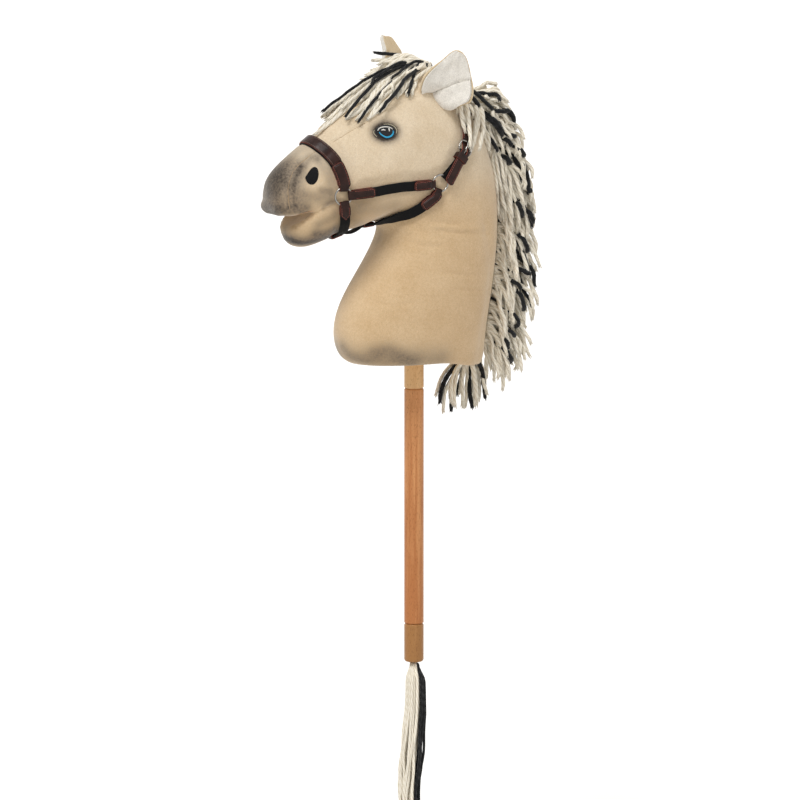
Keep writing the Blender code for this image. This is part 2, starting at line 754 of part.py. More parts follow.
LEATHER = material("brown_leather", LEATHER_BROWN, 0.45)
WEBBING = material("black_webbing", WEBBING_BLACK, 0.9)
METAL = material("bright_steel", STEEL, 0.2, 1.0)
FOLD = RING_WIRE / 2 + FOLD_GAP + LEATHER_THICKNESS / 2
STRAP_HEIGHT = LIFT + LEATHER_THICKNESS / 2 + FOLD
REST_HEIGHT = LIFT + WEBBING_THICKNESS / 2
BLEND = 0.016
SAMPLE = 0.002
STATION = 0.007
SETTLING_ROUNDS = 6
NORMAL_REACH = 4
LIFT_REACH = 3
TAB_END_CLEAR = 0.004
TAB_SLOPE = 0.012


class Ring:
    """A round ring lying on the skin, at the place nearest to a point."""

    def __init__(self, place_near, radius, neck):
        spot, normal = on_skin(place_near)
        across = unit(np.cross(normal, (0.0, 0.0, 1.0)))
        up = np.cross(across, normal)
        lift = 0.0
        for angle in np.linspace(0, 2 * math.pi, RING_STEPS, endpoint=False):
            edge = spot + (across * math.cos(angle) + up * math.sin(angle)) * (radius + RING_WIRE)
            lift = max(lift, np.dot(on_skin(edge)[0] - spot, normal))
        self.foot = spot
        self.normal = normal
        self.radius = radius
        self.neck = neck
        self.centre = spot + normal * (STRAP_HEIGHT + lift)


class Strap:
    """A route over the skin between two rings or free ends, with the height that it keeps."""

    def __init__(self, seeds, width, start, end, tabs=None):
        self.start, self.end = start, end
        feet = [on_skin(p)[0] for p in smooth_path(seeds, SAMPLE * 2)]
        for _ in range(SETTLING_ROUNDS):
            inner = [(feet[i - 1] + 2 * feet[i] + feet[i + 1]) / 4 for i in range(1, len(feet) - 1)]
            feet = [feet[0]] + [on_skin(p)[0] for p in inner] + [feet[-1]]
        feet = np.array(feet)
        self.s = np.concatenate([[0], np.cumsum(np.linalg.norm(np.diff(feet, axis=0), axis=1))])
        self.length = self.s[-1]
        count = round(self.length / SAMPLE)
        even = np.linspace(0, self.length, count)
        feet = np.stack([np.interp(even, self.s, feet[:, k]) for k in range(3)], 1)
        self.s = even
        normals = np.array([on_skin(p)[1] for p in feet])
        tangents = unit(np.gradient(feet, axis=0))
        normals = self.averaged(normals, NORMAL_REACH)
        normals = unit(normals - tangents * (normals * tangents).sum(1)[:, None])
        across = np.cross(normals, tangents)
        lifts = []
        for foot, normal, side in zip(feet, normals, across):
            need = [np.dot(on_skin(foot + side * v * width / 2)[0] - foot, normal) for v in (-1, -0.5, 0.5, 1)]
            lifts.append(max(0.0, *need))
        lifts = np.array(lifts)
        padded = np.pad(lifts, LIFT_REACH, mode="edge")
        highest = np.max([padded[k:k + len(lifts)] for k in range(2 * LIFT_REACH + 1)], 0)
        self.lifts = self.averaged(highest[:, None], LIFT_REACH)[:, 0]
        self.feet, self.normals, self.tangents = self.averaged(feet, 1), normals, tangents
        self.heights = [(0.0, STRAP_HEIGHT)]
        if tabs:
            first, last = tabs[0] + TAB_END_CLEAR, self.length - tabs[1] - TAB_END_CLEAR
            self.heights = [(first, STRAP_HEIGHT), (first + TAB_SLOPE, REST_HEIGHT),
                            (last - TAB_SLOPE, REST_HEIGHT), (last, STRAP_HEIGHT)]

    @staticmethod
    def averaged(values, reach):
        padded = np.pad(values, ((reach, reach), (0, 0)), mode="edge")
        return np.mean([padded[k:k + len(values)] for k in range(2 * reach + 1)], 0)

    def at(self, s, v, h):
        """The point s along, v across and h above the strap's middle layer."""
        foot, normal, tangent = (np.array([np.interp(s, self.s, table[:, k]) for k in range(3)])
                                 for table in (self.feet, self.normals, self.tangents))
        normal = unit(normal)
        tangent = unit(tangent)
        if s < 0:
            foot = foot + tangent * s
        if s > self.length:
            foot = foot + tangent * (s - self.length)
        rise = np.interp(s, self.s, self.lifts) + np.interp(s, *zip(*self.heights))
        across = np.cross(normal, tangent)
        point = foot + across * v + normal * (rise + h)
        for ring, distance, sign in ((self.start, s, 1), (self.end, self.length - s, -1)):
            share = (ring.radius + BLEND - distance) / (BLEND - RING_WIRE)
            share = min(1.0, max(0.0, share))
            share = share * share * (3 - 2 * share)
            index = (0, -1)[sign < 0]
            away = self.tangents[index] * sign
            away = unit(away - ring.normal * np.dot(away, ring.normal))
            side = np.cross(ring.normal, away) * sign
            flat = ring.centre + away * distance + side * v + ring.normal * h
            point = point * (1 - share) + flat * share
        return point


def columns_of(width, count=2):
    return np.linspace(-width / 2, width / 2, count + 1)


def stations(start, end, spacing):
    """Stations on one shared ruler, so that layers over each other bend at the same places."""
    inner = [k * spacing for k in range(math.ceil(start / spacing), math.floor(end / spacing) + 1)]
    return [start] + [s for s in inner if start + spacing / 4 < s < end - spacing / 4] + [end]


def band(name, strap, start, end, width, h, thickness, finish, mirrored=False):
    """A flat strap from start to end, h above the middle layer."""
    across = columns_of(width, 1)
    rows = [[strap.at(s, v, h) for v in across] for s in stations(start, end, STATION)]
    return grid(name, rows, finish, thickness, mirrored)


def fold_rows(strap, across, hold_at, turn):
    """Rows half way round a wire, from the upper layer to the lower one; turn is -1 at a start, 1 at an end."""
    rows = []
    for angle in np.linspace(0, math.pi, FOLD_STEPS + 1)[1:-1]:
        rows.append([strap.at(hold_at(v) + turn * FOLD * math.sin(angle), v, FOLD * math.cos(angle))
                     for v in across])
    return rows


def tab(name, strap, width, length, finish, mirrored=False):
    """A leather tab folded round the ring at the strap's start, with a leg on each side of it."""
    radius, neck_width = strap.start.radius, strap.start.neck

    def wire_at(v):
        return math.sqrt(radius ** 2 - v ** 2)

    neck = columns_of(neck_width, TAB_COLUMNS)
    legs = [[(wire_at(v), v) for v in neck]]
    for s in stations(radius + STATION, length, STATION):
        across = columns_of(width, TAB_COLUMNS)
        legs.append([(s - (TAB_ROUNDING * (2 * v / width) ** 2 if s == length else 0.0), v) for v in across])
    upper = [[strap.at(s, v, FOLD) for s, v in row] for row in legs[::-1]]
    lower = [[strap.at(s, v, -FOLD) for s, v in row] for row in legs]
    rows = upper + fold_rows(strap, neck, wire_at, -1) + lower
    return grid(name, rows, finish, LEATHER_THICKNESS, mirrored)


def ring_object(name, ring, mirrored=False):
    across = unit(np.cross(ring.normal, (0.0, 0.0, 1.0)))
    up = np.cross(across, ring.normal)
    points = [ring.centre + (across * math.cos(a) + up * math.sin(a)) * ring.radius
              for a in np.linspace(0, 2 * math.pi, RING_STEPS, endpoint=False)]
    if mirrored:
        points = [p * (-1.0, 1.0, 1.0) for p in points]
    return wire(name, points, RING_WIRE, METAL, closed=True)


def mirror(point):
    return (-point[0], point[1], point[2])


def loop_round(name, strap, middle, length, finish, low, high, width, thickness):
    """A closed loop of leather round whatever lies between low and high on a strap."""
    half = width / 2 + FOLD_GAP + thickness / 2
    bevel = min(LOOP_BEVEL, (high - low) / 4)
    shape = ((-half + bevel, high), (half - bevel, high), (half, high - bevel), (half, low + bevel),
             (half - bevel, low), (-half + bevel, low), (-half, low + bevel), (-half, high - bevel))
    rows = [[strap.at(middle + share * length, v, h) for share in (-0.5, 0.0, 0.5)] for v, h in shape]
    return grid(name, rows, finish, thickness, closed=True)


def make_straps(front, rear, front_right, rear_right):
    cheek = Strap([front.foot, CHEEK_MIDDLE, rear.foot], CHEEK_WIDTH, front, rear,
                  (CHEEK_FRONT_TAB, CHEEK_REAR_TAB))
    back = Strap([rear.foot, CHEEK_MIDDLE, front.foot], CHEEK_WIDTH, rear, front,
                 (CHEEK_REAR_TAB, CHEEK_FRONT_TAB))
    over_nose = [*NOSEBAND_SIDES, NOSEBAND_TOP, *map(mirror, NOSEBAND_SIDES[::-1])]
    nose = Strap([front.foot, *over_nose, front_right.foot], NOSEBAND_WIDTH, front, front_right,
                 (NOSEBAND_TAB, NOSEBAND_TAB))
    chin = Strap([front.foot, CHIN_SIDE, CHIN_UNDER, mirror(CHIN_SIDE), front_right.foot],
                 WEBBING_WIDTH, front, front_right)
    throat = Strap([rear.foot, *THROAT_SIDES, THROAT_UNDER, *map(mirror, THROAT_SIDES[::-1]), rear_right.foot],
                   WEBBING_WIDTH, rear, rear_right)
    for name, strap, width in (("noseband_webbing", nose, NOSEBAND_WIDTH), ("chin_strap", chin, WEBBING_WIDTH),
                               ("throat_strap", throat, WEBBING_WIDTH)):
        begin = strap.start.radius + WEBBING_START
        band(name, strap, begin, strap.length - begin, width, 0.0, WEBBING_THICKNESS, WEBBING)
    for side, flipped in (("left", False), ("right", True)):
        band(f"cheek_strap_{side}", cheek, front.radius + WEBBING_START, cheek.length - rear.radius - WEBBING_START,
             CHEEK_WIDTH, 0.0, WEBBING_THICKNESS, WEBBING, flipped)
        tab(f"cheek_front_tab_{side}", cheek, CHEEK_WIDTH, CHEEK_FRONT_TAB, LEATHER, flipped)
        tab(f"cheek_rear_tab_{side}", back, CHEEK_WIDTH, CHEEK_REAR_TAB, LEATHER, flipped)
        tab(f"noseband_tab_{side}", nose, NOSEBAND_WIDTH, NOSEBAND_TAB, LEATHER, flipped)
        tab(f"chin_tab_{side}", chin, WEBBING_WIDTH, CHIN_TAB, LEATHER, flipped)
        tab(f"throat_tab_{side}", throat, WEBBING_WIDTH, THROAT_TAB, LEATHER, flipped)
    above = WEBBING_THICKNESS / 2 + GAP + LEATHER_THICKNESS / 2
    from_ring = NOSEBAND_TAB + FOLD_GAP
    band("noseband_leather", nose, from_ring, nose.length - from_ring, NOSEBAND_LEATHER_WIDTH, above,
         LEATHER_THICKNESS, LEATHER)
    return chin, throat


def make_jaw_strap(chin, throat):
    """The short strap under the jaw, between a leather loop on the chin strap and one on the throat strap."""
    high = WEBBING_THICKNESS / 2 + FOLD_GAP + LEATHER_THICKNESS / 2
    for name, strap in (("jaw_loop_front", chin), ("jaw_loop_rear", throat)):
        loop_round(name, strap, strap.length / 2, LOOP_LENGTH, LEATHER, -high, high, WEBBING_WIDTH,
                   LEATHER_THICKNESS)
    edge = WEBBING_WIDTH / 2 + 2 * FOLD_GAP + LEATHER_THICKNESS
    goal = throat.at(throat.length / 2, 0.0, 0.0)
    begin = min((chin.at(chin.length / 2, sign * edge, 0.0) for sign in (1, -1)),
                key=lambda p: np.linalg.norm(p - goal))
    end = min((throat.at(throat.length / 2, sign * edge, 0.0) for sign in (1, -1)),
              key=lambda p: np.linalg.norm(p - begin))
    rows = []
    for share in np.linspace(0, 1, JAW_STRAP_ROWS):
        middle = begin * (1 - share) + end * share
        middle = middle - (0.0, 0.0, JAW_STRAP_SAG * math.sin(math.pi * share))
        rows.append([middle + (x, 0.0, 0.0) for x in columns_of(JAW_STRAP_WIDTH)])
    grid("jaw_strap", rows, WEBBING, WEBBING_THICKNESS)


def make_crown(rear, rear_right):
    """The strap behind the ears, sewn to the right ring and buckled on the left."""
    seeds = [rear.foot, *CROWN_SIDES, CROWN_TOP, *map(mirror, CROWN_SIDES[::-1]), rear_right.foot]
    raised = LIFT + KEEPER_THICKNESS + FOLD_GAP + LEATHER_THICKNESS / 2 + FOLD
    heel = BUCKLE_FROM_RING - BUCKLE_LENGTH / 2
    front_bar = BUCKLE_FROM_RING + BUCKLE_LENGTH / 2
    keeper = heel - KEEPER_BEFORE_BUCKLE
    crown = Strap(seeds, CROWN_WIDTH, rear, rear_right, (front_bar, CROWN_TAB))
    past = front_bar + BUCKLE_CLEAR
    crown.heights = [(rear.radius, STRAP_HEIGHT), (keeper - KEEPER_LENGTH, raised), (past, raised),
                     (past + BUCKLE_SLOPE, REST_HEIGHT)] + crown.heights[2:]
    back = Strap(seeds[::-1], CROWN_WIDTH, rear_right, rear)
    tab("crown_tab_right", back, CROWN_WIDTH, CROWN_TAB, LEATHER)

    slot = TONGUE_SLOT / 2
    half = CROWN_WIDTH / 2
    over = FOLD + LEATHER_THICKNESS + GAP
    under = -(BUCKLE_WIRE / 2 + FOLD_GAP + LEATHER_THICKNESS / 2)
    levels = ((0.0, over + BILLET_STAND_OFF), (heel - SINK_BEFORE_BUCKLE, over), (heel + SINK_AT_BUCKLE, over),
              (front_bar - BUCKLE_WIRE, under), (past, under), (past + BUCKLE_SLOPE, 0.0))
    route = stations(BILLET_END_FROM_RING, past, STATION / 2)
    route += stations(past, crown.length - rear.radius - WEBBING_START, STATION)[1:]
    rows = []
    for s in route:
        level = float(np.interp(s, *zip(*levels)))
        drift = BILLET_SIDE_DRIFT * max(0.0, (keeper - KEEPER_LENGTH - s) / keeper)
        rows.append([crown.at(s, v - drift, level) for v in (-half, -slot, slot, half)])
    slot_from, slot_to = heel - TONGUE_SLOT_BEFORE, heel + TONGUE_SLOT_AFTER
    holes = [(i, 1) for i, (a, b) in enumerate(zip(route, route[1:])) if a >= slot_from and b <= slot_to]
    grid("crown_strap", rows, LEATHER, LEATHER_THICKNESS, holes=holes)
    make_buckle_strap(crown, rear, heel)

    side = BUCKLE_WIDTH / 2
    inset = BUCKLE_WIRE
    frame = ((heel, -side + inset), (heel, side - inset), (heel + inset, side), (front_bar - inset, side),
             (front_bar, side - inset), (front_bar, -side + inset), (front_bar - inset, -side),
             (heel + inset, -side))
    wire("buckle_frame", [crown.at(s, v, 0.0) for s, v in frame], BUCKLE_WIRE, METAL, closed=True)
    eye = BUCKLE_WIRE / 2 + GAP + TONGUE_WIRE / 2
    turn = np.radians(np.linspace(TONGUE_TURN, 0, TONGUE_STEPS))
    points = [crown.at(heel - eye * math.sin(a), 0.0, eye * math.cos(a)) for a in turn]
    points += [crown.at(s, 0.0, eye) for s in stations(heel + eye, front_bar + TONGUE_PAST_BAR, STATION)]
    tongue = wire("buckle_tongue", points, TONGUE_WIRE, METAL)
    low = -(FOLD + LEATHER_THICKNESS / 2 + GAP + KEEPER_THICKNESS / 2)
    high = over + LEATHER_THICKNESS / 2 + FOLD_GAP + KEEPER_THICKNESS / 2
    loop_round("keeper", crown, keeper, KEEPER_LENGTH, LEATHER, low, high, CROWN_WIDTH, KEEPER_THICKNESS)
    pin, aside = crown.at(heel, 0.0, 0.0), crown.at(heel, slot, 0.0)
    hinged("tongue_hinge", pin, unit(aside - pin), [tongue])


def make_buckle_strap(crown, rear, heel):
    """A closed band of webbing from the left ring to the buckle's heel bar, slotted there for the tongue."""
    half, slot = rear.neck / 2, TONGUE_SLOT / 2
    across = (-half, -slot, slot, half)

    def ring_at(v):
        return math.sqrt(rear.radius ** 2 - v ** 2)

    def heel_at(_):
        return heel

    before_slot = heel - TONGUE_SLOT_BEFORE
    legs = [[ring_at(v) for v in across]]
    legs += [[s] * 4 for s in stations(rear.radius + STATION / 2, before_slot, STATION)]
    legs.append([heel] * 4)
    upper = [[crown.at(s, v, FOLD) for s, v in zip(row, across)] for row in legs]
    lower = [[crown.at(s, v, -FOLD) for s, v in zip(row, across)] for row in legs[::-1]]
    heel_fold = fold_rows(crown, across, heel_at, 1)
    ring_fold = fold_rows(crown, across, ring_at, -1)[::-1]
    first = len(upper) - 2
    holes = [(i, 1) for i in range(first, first + len(heel_fold) + 3)]
    grid("buckle_strap", upper + heel_fold + lower + ring_fold, WEBBING, LEATHER_THICKNESS,
         closed=True, holes=holes)


def make_halter():
    front, rear = (Ring(FRONT_RING_PLACE, FRONT_RING_RADIUS, FRONT_TAB_NECK),
                   Ring(REAR_RING_PLACE, REAR_RING_RADIUS, REAR_TAB_NECK))
    front_right, rear_right = (Ring(mirror(FRONT_RING_PLACE), FRONT_RING_RADIUS, FRONT_TAB_NECK),
                               Ring(mirror(REAR_RING_PLACE), REAR_RING_RADIUS, REAR_TAB_NECK))
    for side, flipped in (("left", False), ("right", True)):
        ring_object(f"noseband_ring_{side}", front, flipped)
        ring_object(f"cheek_ring_{side}", rear, flipped)
    chin, throat = make_straps(front, rear, front_right, rear_right)
    make_jaw_strap(chin, throat)
    make_crown(rear, rear_right)


def make_stick():
    radius = STICK_DIAMETER / 2
    upper_seam = -DOWEL_SHOWING
    lower_seam = upper_seam - MAIN_STICK_LENGTH
    stick_end = lower_seam - END_CAP_LENGTH
    stud = STUD_DIAMETER / 2
    turned("upper_dowel", (
        (0.0, DOWEL_IN_HEAD), (radius - SEAM_CHAMFER, DOWEL_IN_HEAD), (radius, DOWEL_IN_HEAD - SEAM_CHAMFER),
        (radius, upper_seam + SEAM_CHAMFER + GAP), (radius - SEAM_CHAMFER, upper_seam + GAP),
        (stud + GAP, upper_seam + GAP), (stud + GAP, upper_seam + STUD_IN_DOWEL + GAP),
        (0.0, upper_seam + STUD_IN_DOWEL + GAP)), material("pale_beech", PALE_BEECH, 0.6))
    insert = INSERT_DIAMETER / 2
    tenon = TENON_DIAMETER / 2
    turned("main_stick", (
        (0.0, upper_seam - INSERT_LENGTH - GAP), (insert + GAP, upper_seam - INSERT_LENGTH - GAP),
        (insert + GAP, upper_seam), (radius - SEAM_CHAMFER, upper_seam), (radius, upper_seam - SEAM_CHAMFER),
        (radius, lower_seam + SEAM_CHAMFER + GAP), (radius - SEAM_CHAMFER, lower_seam + GAP),
        (tenon, lower_seam + GAP), (tenon, lower_seam - TENON_LENGTH), (0.0, lower_seam - TENON_LENGTH)),
        material("red_beech", RED_BEECH, 0.5))
    turned("threaded_insert", (
        (0.0, upper_seam - STUD_IN_STICK - GAP), (stud + GAP, upper_seam - STUD_IN_STICK - GAP),
        (stud + GAP, upper_seam), (insert, upper_seam), (insert, upper_seam - INSERT_LENGTH),
        (0.0, upper_seam - INSERT_LENGTH)), material("brass", BRASS, 0.35, 1.0), SMALL_STEPS)
    turned("joining_stud", (
        (0.0, upper_seam + STUD_IN_DOWEL), (stud, upper_seam + STUD_IN_DOWEL),
        (stud, upper_seam - STUD_IN_STICK), (0.0, upper_seam - STUD_IN_STICK)), METAL, SMALL_STEPS)
    root = TAIL_ROOT_DIAMETER / 2
    rounding = [(radius - END_CAP_ROUNDING * (1 - math.cos(a)), stick_end + END_CAP_ROUNDING * (1 - math.sin(a)))
                for a in np.linspace(0, math.pi / 2, CAP_STEPS)]
    turned("end_cap", (
        (0.0, lower_seam - TENON_LENGTH - GAP), (tenon + GAP, lower_seam - TENON_LENGTH - GAP),
        (tenon + GAP, lower_seam), (radius - SEAM_CHAMFER, lower_seam), (radius, lower_seam - SEAM_CHAMFER),
        *rounding, (root + GAP, stick_end), (root + GAP, stick_end + TAIL_ROOT_LENGTH + GAP),
        (0.0, stick_end + TAIL_ROOT_LENGTH + GAP)), material("cap_beech", CAP_BEECH, 0.6))
    turned("tail_root", (
        (0.0, stick_end + TAIL_ROOT_LENGTH), (root, stick_end + TAIL_ROOT_LENGTH), (root, stick_end),
        (0.0, stick_end)), material("bound_yarn", YARN_WHITE, 0.95), SMALL_STEPS)
    return stick_end


def make_tail(stick_end):
    """The tail's white and black yarn, hanging from a round top that turns under the end cap."""
    half = TAIL_DIAMETER / 2
    pivot = stick_end - GAP - half
    rings = []
    for angle in np.linspace(TAIL_TOP_ANGLE, math.pi / 2, TAIL_TOP_ROWS):
        rings.append((half * math.sin(angle), pivot + half * math.cos(angle), 0.0))
    for share in np.linspace(*TAIL_SHARES):
        sway = -TAIL_DRIFT * math.sin(math.pi * max(0.0, share - TAIL_STRAIGHT_SHARE))
        spread = half * (1 + TAIL_BULGE * math.sin(math.pi * share))
        rings.append((spread, stick_end - TAIL_LENGTH * share, sway))
    turn = np.linspace(0, 2 * math.pi, SMALL_STEPS, endpoint=False)
    skin = [[(radius * math.cos(a), sway + radius * math.sin(a), z) for a in turn] for radius, z, sway in rings]
    white = loft("tail_white", skin, material("tail_white_yarn", YARN_WHITE, 0.95))
    black_half = BLACK_TAIL_DIAMETER / 2
    side = math.radians(BLACK_TAIL_SIDE)
    turn = np.linspace(0, 2 * math.pi, BLACK_TAIL_STEPS, endpoint=False)
    skin = []
    for radius, z, sway in rings[TAIL_TOP_ROWS - 1:]:
        aside = radius + black_half + GAP
        x, y = aside * math.cos(side), sway + aside * math.sin(side)
        skin.append([(x + black_half * math.cos(a), y + black_half * math.sin(a), z) for a in turn])
    black = loft("tail_black", skin, material("tail_black_yarn", YARN_BLACK, 0.95))
    hinged("tail_hinge", (0.0, 0.0, pivot), (1.0, 0.0, 0.0), [white, black])


make_head()
make_mouth_lining()
patch("eye", EYE_PLACE, EYE_WIDTH, EYE_HEIGHT, EYE_THICKNESS, material("eye_embroidery", EYE_BLACK, 0.5))
patch("nostril", NOSTRIL_PLACE, NOSTRIL_WIDTH, NOSTRIL_HEIGHT, NOSTRIL_THICKNESS,
      material("black_felt", FELT_BLACK, 0.95), NOSTRIL_POINT)
make_ears()
make_mane()
make_forelock()
make_halter()
make_tail(make_stick())
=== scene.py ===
# %% [markdown]
# # A hobby horse: plush head, yarn mane, leather halter, beech stick
#
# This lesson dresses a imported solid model. The solids give every place and size; here each visible
# piece is made again as a fine surface with the finish of the real material. Work through the cells in order.
# Lengths are metres, +Z is up, the horse looks along -Y, and its left side, the one in the photograph, is +X.

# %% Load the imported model
import math

import bmesh
import bpy
import numpy as np
from mathutils import Matrix, Vector
from mathutils.bvhtree import BVHTree


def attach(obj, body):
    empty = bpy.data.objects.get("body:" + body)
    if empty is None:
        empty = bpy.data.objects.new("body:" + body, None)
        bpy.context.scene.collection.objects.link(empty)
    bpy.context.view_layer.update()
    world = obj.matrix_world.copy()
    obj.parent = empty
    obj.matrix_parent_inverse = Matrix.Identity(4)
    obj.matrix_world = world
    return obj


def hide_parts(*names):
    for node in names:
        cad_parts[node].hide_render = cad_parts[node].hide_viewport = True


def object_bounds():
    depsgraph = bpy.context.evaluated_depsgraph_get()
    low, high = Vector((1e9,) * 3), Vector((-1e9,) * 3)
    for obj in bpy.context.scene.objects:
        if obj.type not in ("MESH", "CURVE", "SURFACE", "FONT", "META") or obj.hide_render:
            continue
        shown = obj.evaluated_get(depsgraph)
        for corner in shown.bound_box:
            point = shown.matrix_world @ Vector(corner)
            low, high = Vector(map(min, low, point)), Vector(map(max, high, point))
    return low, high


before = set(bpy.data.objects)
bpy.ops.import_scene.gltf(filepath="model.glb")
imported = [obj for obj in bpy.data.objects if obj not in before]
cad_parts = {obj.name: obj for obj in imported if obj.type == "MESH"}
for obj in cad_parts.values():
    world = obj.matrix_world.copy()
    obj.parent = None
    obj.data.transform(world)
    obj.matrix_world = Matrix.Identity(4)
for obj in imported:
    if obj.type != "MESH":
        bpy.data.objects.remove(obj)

CAD_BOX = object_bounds()

# %% [markdown]
# ## The camera
# A long lens a good way off keeps the toy's proportions, as the product photograph does. The view comes from
# the horse's front left, a little above. One pixel of the picture is 1.43 mm at the stick's axis, and the
# neck's bottom lies on pixel (414, 359) of 800 by 800, which fixes the aim and the focal length.

# %% The camera
AZIMUTH, ELEVATION = math.radians(62.0), math.radians(8.5)
PIXEL = 0.00143
IMAGE = 800
ORIGIN_PIXEL = (414.0, 359.0)
DISTANCE = 12.0
SENSOR = 36.0

BACK = np.array((math.sin(AZIMUTH) * math.cos(ELEVATION), -math.cos(AZIMUTH) * math.cos(ELEVATION),
                 math.sin(ELEVATION)))
RIGHT = np.array((math.cos(AZIMUTH), math.sin(AZIMUTH), 0.0))
UP = np.cross(BACK, RIGHT)


def at_pixel(x, y):
    """The point of the plane through the origin, square to the view, that lies on a pixel."""
    return RIGHT * (x - ORIGIN_PIXEL[0]) * PIXEL + UP * (ORIGIN_PIXEL[1] - y) * PIXEL


def placed(name, data):
    """A new object that holds the data, linked to the scene."""
    item = bpy.data.objects.new(name, data)
    bpy.context.scene.collection.objects.link(item)
    return item


EYE_POINT = at_pixel(IMAGE / 2, IMAGE / 2) + BACK * DISTANCE
lens = bpy.data.cameras.new("studio_camera")
lens.lens = SENSOR * DISTANCE / (IMAGE * PIXEL)
lens.sensor_width = SENSOR
lens.clip_end = 100.0
camera = placed("studio_camera", lens)
turn = Matrix((RIGHT, UP, BACK)).transposed().to_4x4()
turn.translation = Vector(EYE_POINT)
camera.matrix_world = turn
bpy.context.scene.camera = camera
bpy.context.scene.view_settings.view_transform = "Standard"
print("focal length in mm:", round(lens.lens, 1))

# %% [markdown]
# ## Nodes and colours
# Every material below is a small tree of nodes. One function adds a node with its settings and links, and one
# turns the colours, which are picked as sRGB hex, to the linear values that a shader reckons with. The scale
# of a noise counts its patches in a metre, so a scale of 500 makes marks 2 mm apart.

# %% Helpers for materials


def linear(code):
    """sRGB hex to linear: c / 12.92 below 0.04045, else ((c + 0.055) / 1.055) ** 2.4, with alpha 1."""
    c = np.array([int(code[i:i + 2], 16) for i in (0, 2, 4)]) / 255
    return (*np.where(c <= 0.04045, c / 12.92, ((c + 0.055) / 1.055) ** 2.4).tolist(), 1.0)


def plug(node, sockets):
    """Sets a node's inputs, or links them to outputs; a node given as a value stands for its first output."""
    for key, value in sockets.items():
        if isinstance(value, bpy.types.Node):
            value = value.outputs[0]
        if isinstance(value, bpy.types.NodeSocket):
            node.id_data.links.new(value, node.inputs[key])
        else:
            node.inputs[key].default_value = value


def add(tree, kind, sockets=None, **settings):
    """Adds a node with its settings, then the values and links of its inputs."""
    made = tree.nodes.new("ShaderNode" + kind)
    for name, value in settings.items():
        setattr(made, name, value)
    plug(made, sockets or {})
    return made


def new_material(name, constants):
    """A material with one Principled shader, whose constants are set on its own sockets."""
    made = bpy.data.materials.new(name)
    made.use_nodes = True
    tree = made.node_tree
    tree.nodes.clear()
    shader = add(tree, "BsdfPrincipled", constants)
    add(tree, "OutputMaterial", {"Surface": shader})
    return made, tree, shader


print("white is", linear("FFFFFF"))

# %% [markdown]
# ## The studio
# A toy on white needs even light. The world gives the fill, one wide sun from the camera's upper left gives
# the shape, and a weak one from the right opens the shadows. What the camera, leather or steel sees of the
# surroundings is plain white, and the pale floor is lifted to it in its material, so no lamp has to be too
# bright, and the shadow stays on the floor.

# %% Lights, world and floor
FLOOR_DROP = 0.012
FLOOR_SIZE = 60.0
WORLD_STRENGTH = 0.50
PAPER_LIFT = 0.34
# Each lamp: azimuth and elevation in degrees, strength, and its width in the sky in degrees
LAMPS = (("key", 30.0, 54.0, 1.9, 24.0), ("fill", 130.0, 35.0, 0.35, 60.0))


def towards(azimuth, elevation):
    """The unit vector to a place in the sky, in degrees round from the horse's front and up."""
    a, e = math.radians(azimuth), math.radians(elevation)
    return Vector((math.sin(a) * math.cos(e), -math.cos(a) * math.cos(e), math.sin(e)))


def clear_rays(tree):
    """1 for a camera, glossy or transmission ray, else 0."""
    path = add(tree, "LightPath")
    shiny = add(tree, "Math", {0: path.outputs["Is Glossy Ray"], 1: path.outputs["Is Transmission Ray"]},
                operation="MAXIMUM")
    return add(tree, "Math", {0: path.outputs["Is Camera Ray"], 1: shiny}, operation="MAXIMUM").outputs[0]


world = bpy.data.worlds.new("studio_white")
world.use_nodes = True
bpy.context.scene.world = world
sky = world.node_tree
sky.nodes.clear()
light = add(sky, "Background", {"Color": linear("FFF9F0"), "Strength": WORLD_STRENGTH})
white = add(sky, "Background", {"Color": linear("FFFFFF"), "Strength": 1.0})
mixed = add(sky, "MixShader", {0: clear_rays(sky), 1: light, 2: white})
add(sky, "OutputWorld", {"Surface": mixed})

for name, azimuth, elevation, strength, spread in LAMPS:
    lamp = bpy.data.lights.new(name, "SUN")
    lamp.energy = strength
    lamp.angle = math.radians(spread)
    holder = placed(name, lamp)
    holder.rotation_mode = "QUATERNION"
    holder.rotation_quaternion = towards(azimuth, elevation).to_track_quat("Z", "Y")

paper, tree, shader = new_material("matt_studio_paper", {
    "Roughness": 0.9, "Base Color": linear("EDEDED"), "Specular IOR Level": 0.0,
    "Emission Color": linear("FFFFFF")})
lifted = add(tree, "Math", {0: clear_rays(tree), 1: PAPER_LIFT}, operation="MULTIPLY")
plug(shader, {"Emission Strength": lifted})
floor_height = CAD_BOX[0].z - FLOOR_DROP
bpy.ops.mesh.primitive_plane_add(size=FLOOR_SIZE)
floor = bpy.context.object
floor.name = "studio_floor"
floor.data.transform(Matrix.Translation((0, 0, floor_height)))
floor.data.materials.append(paper)
print("floor at", round(floor_height, 3))

# %% [markdown]
# ## Surfaces from arrays
# A shape here is a grid of points worked out by a formula, all at once. These helpers turn such a grid into a
# closed mesh: a sheet with a wall, or a bundle of round tubes. The corner numbers are worked out as arrays
# too.

# %% Helpers for shapes


def unit(v):
    """v / |v| along the last axis."""
    return v / np.linalg.norm(v, axis=-1, keepdims=True)


def way_along(points):
    """The distance along a line of points, from its start."""
    return np.concatenate([[0], np.cumsum(np.linalg.norm(np.diff(points, axis=0), axis=1))])


OTHER_SIDE = np.array((-1.0, 1.0, 1.0))


def number_points(mesh, name, values):
    """Gives each point of a mesh a number of its own, which a material can read."""
    mesh.attributes.new(name, "FLOAT", "POINT").data.foreach_set("value", values.astype(np.float32))


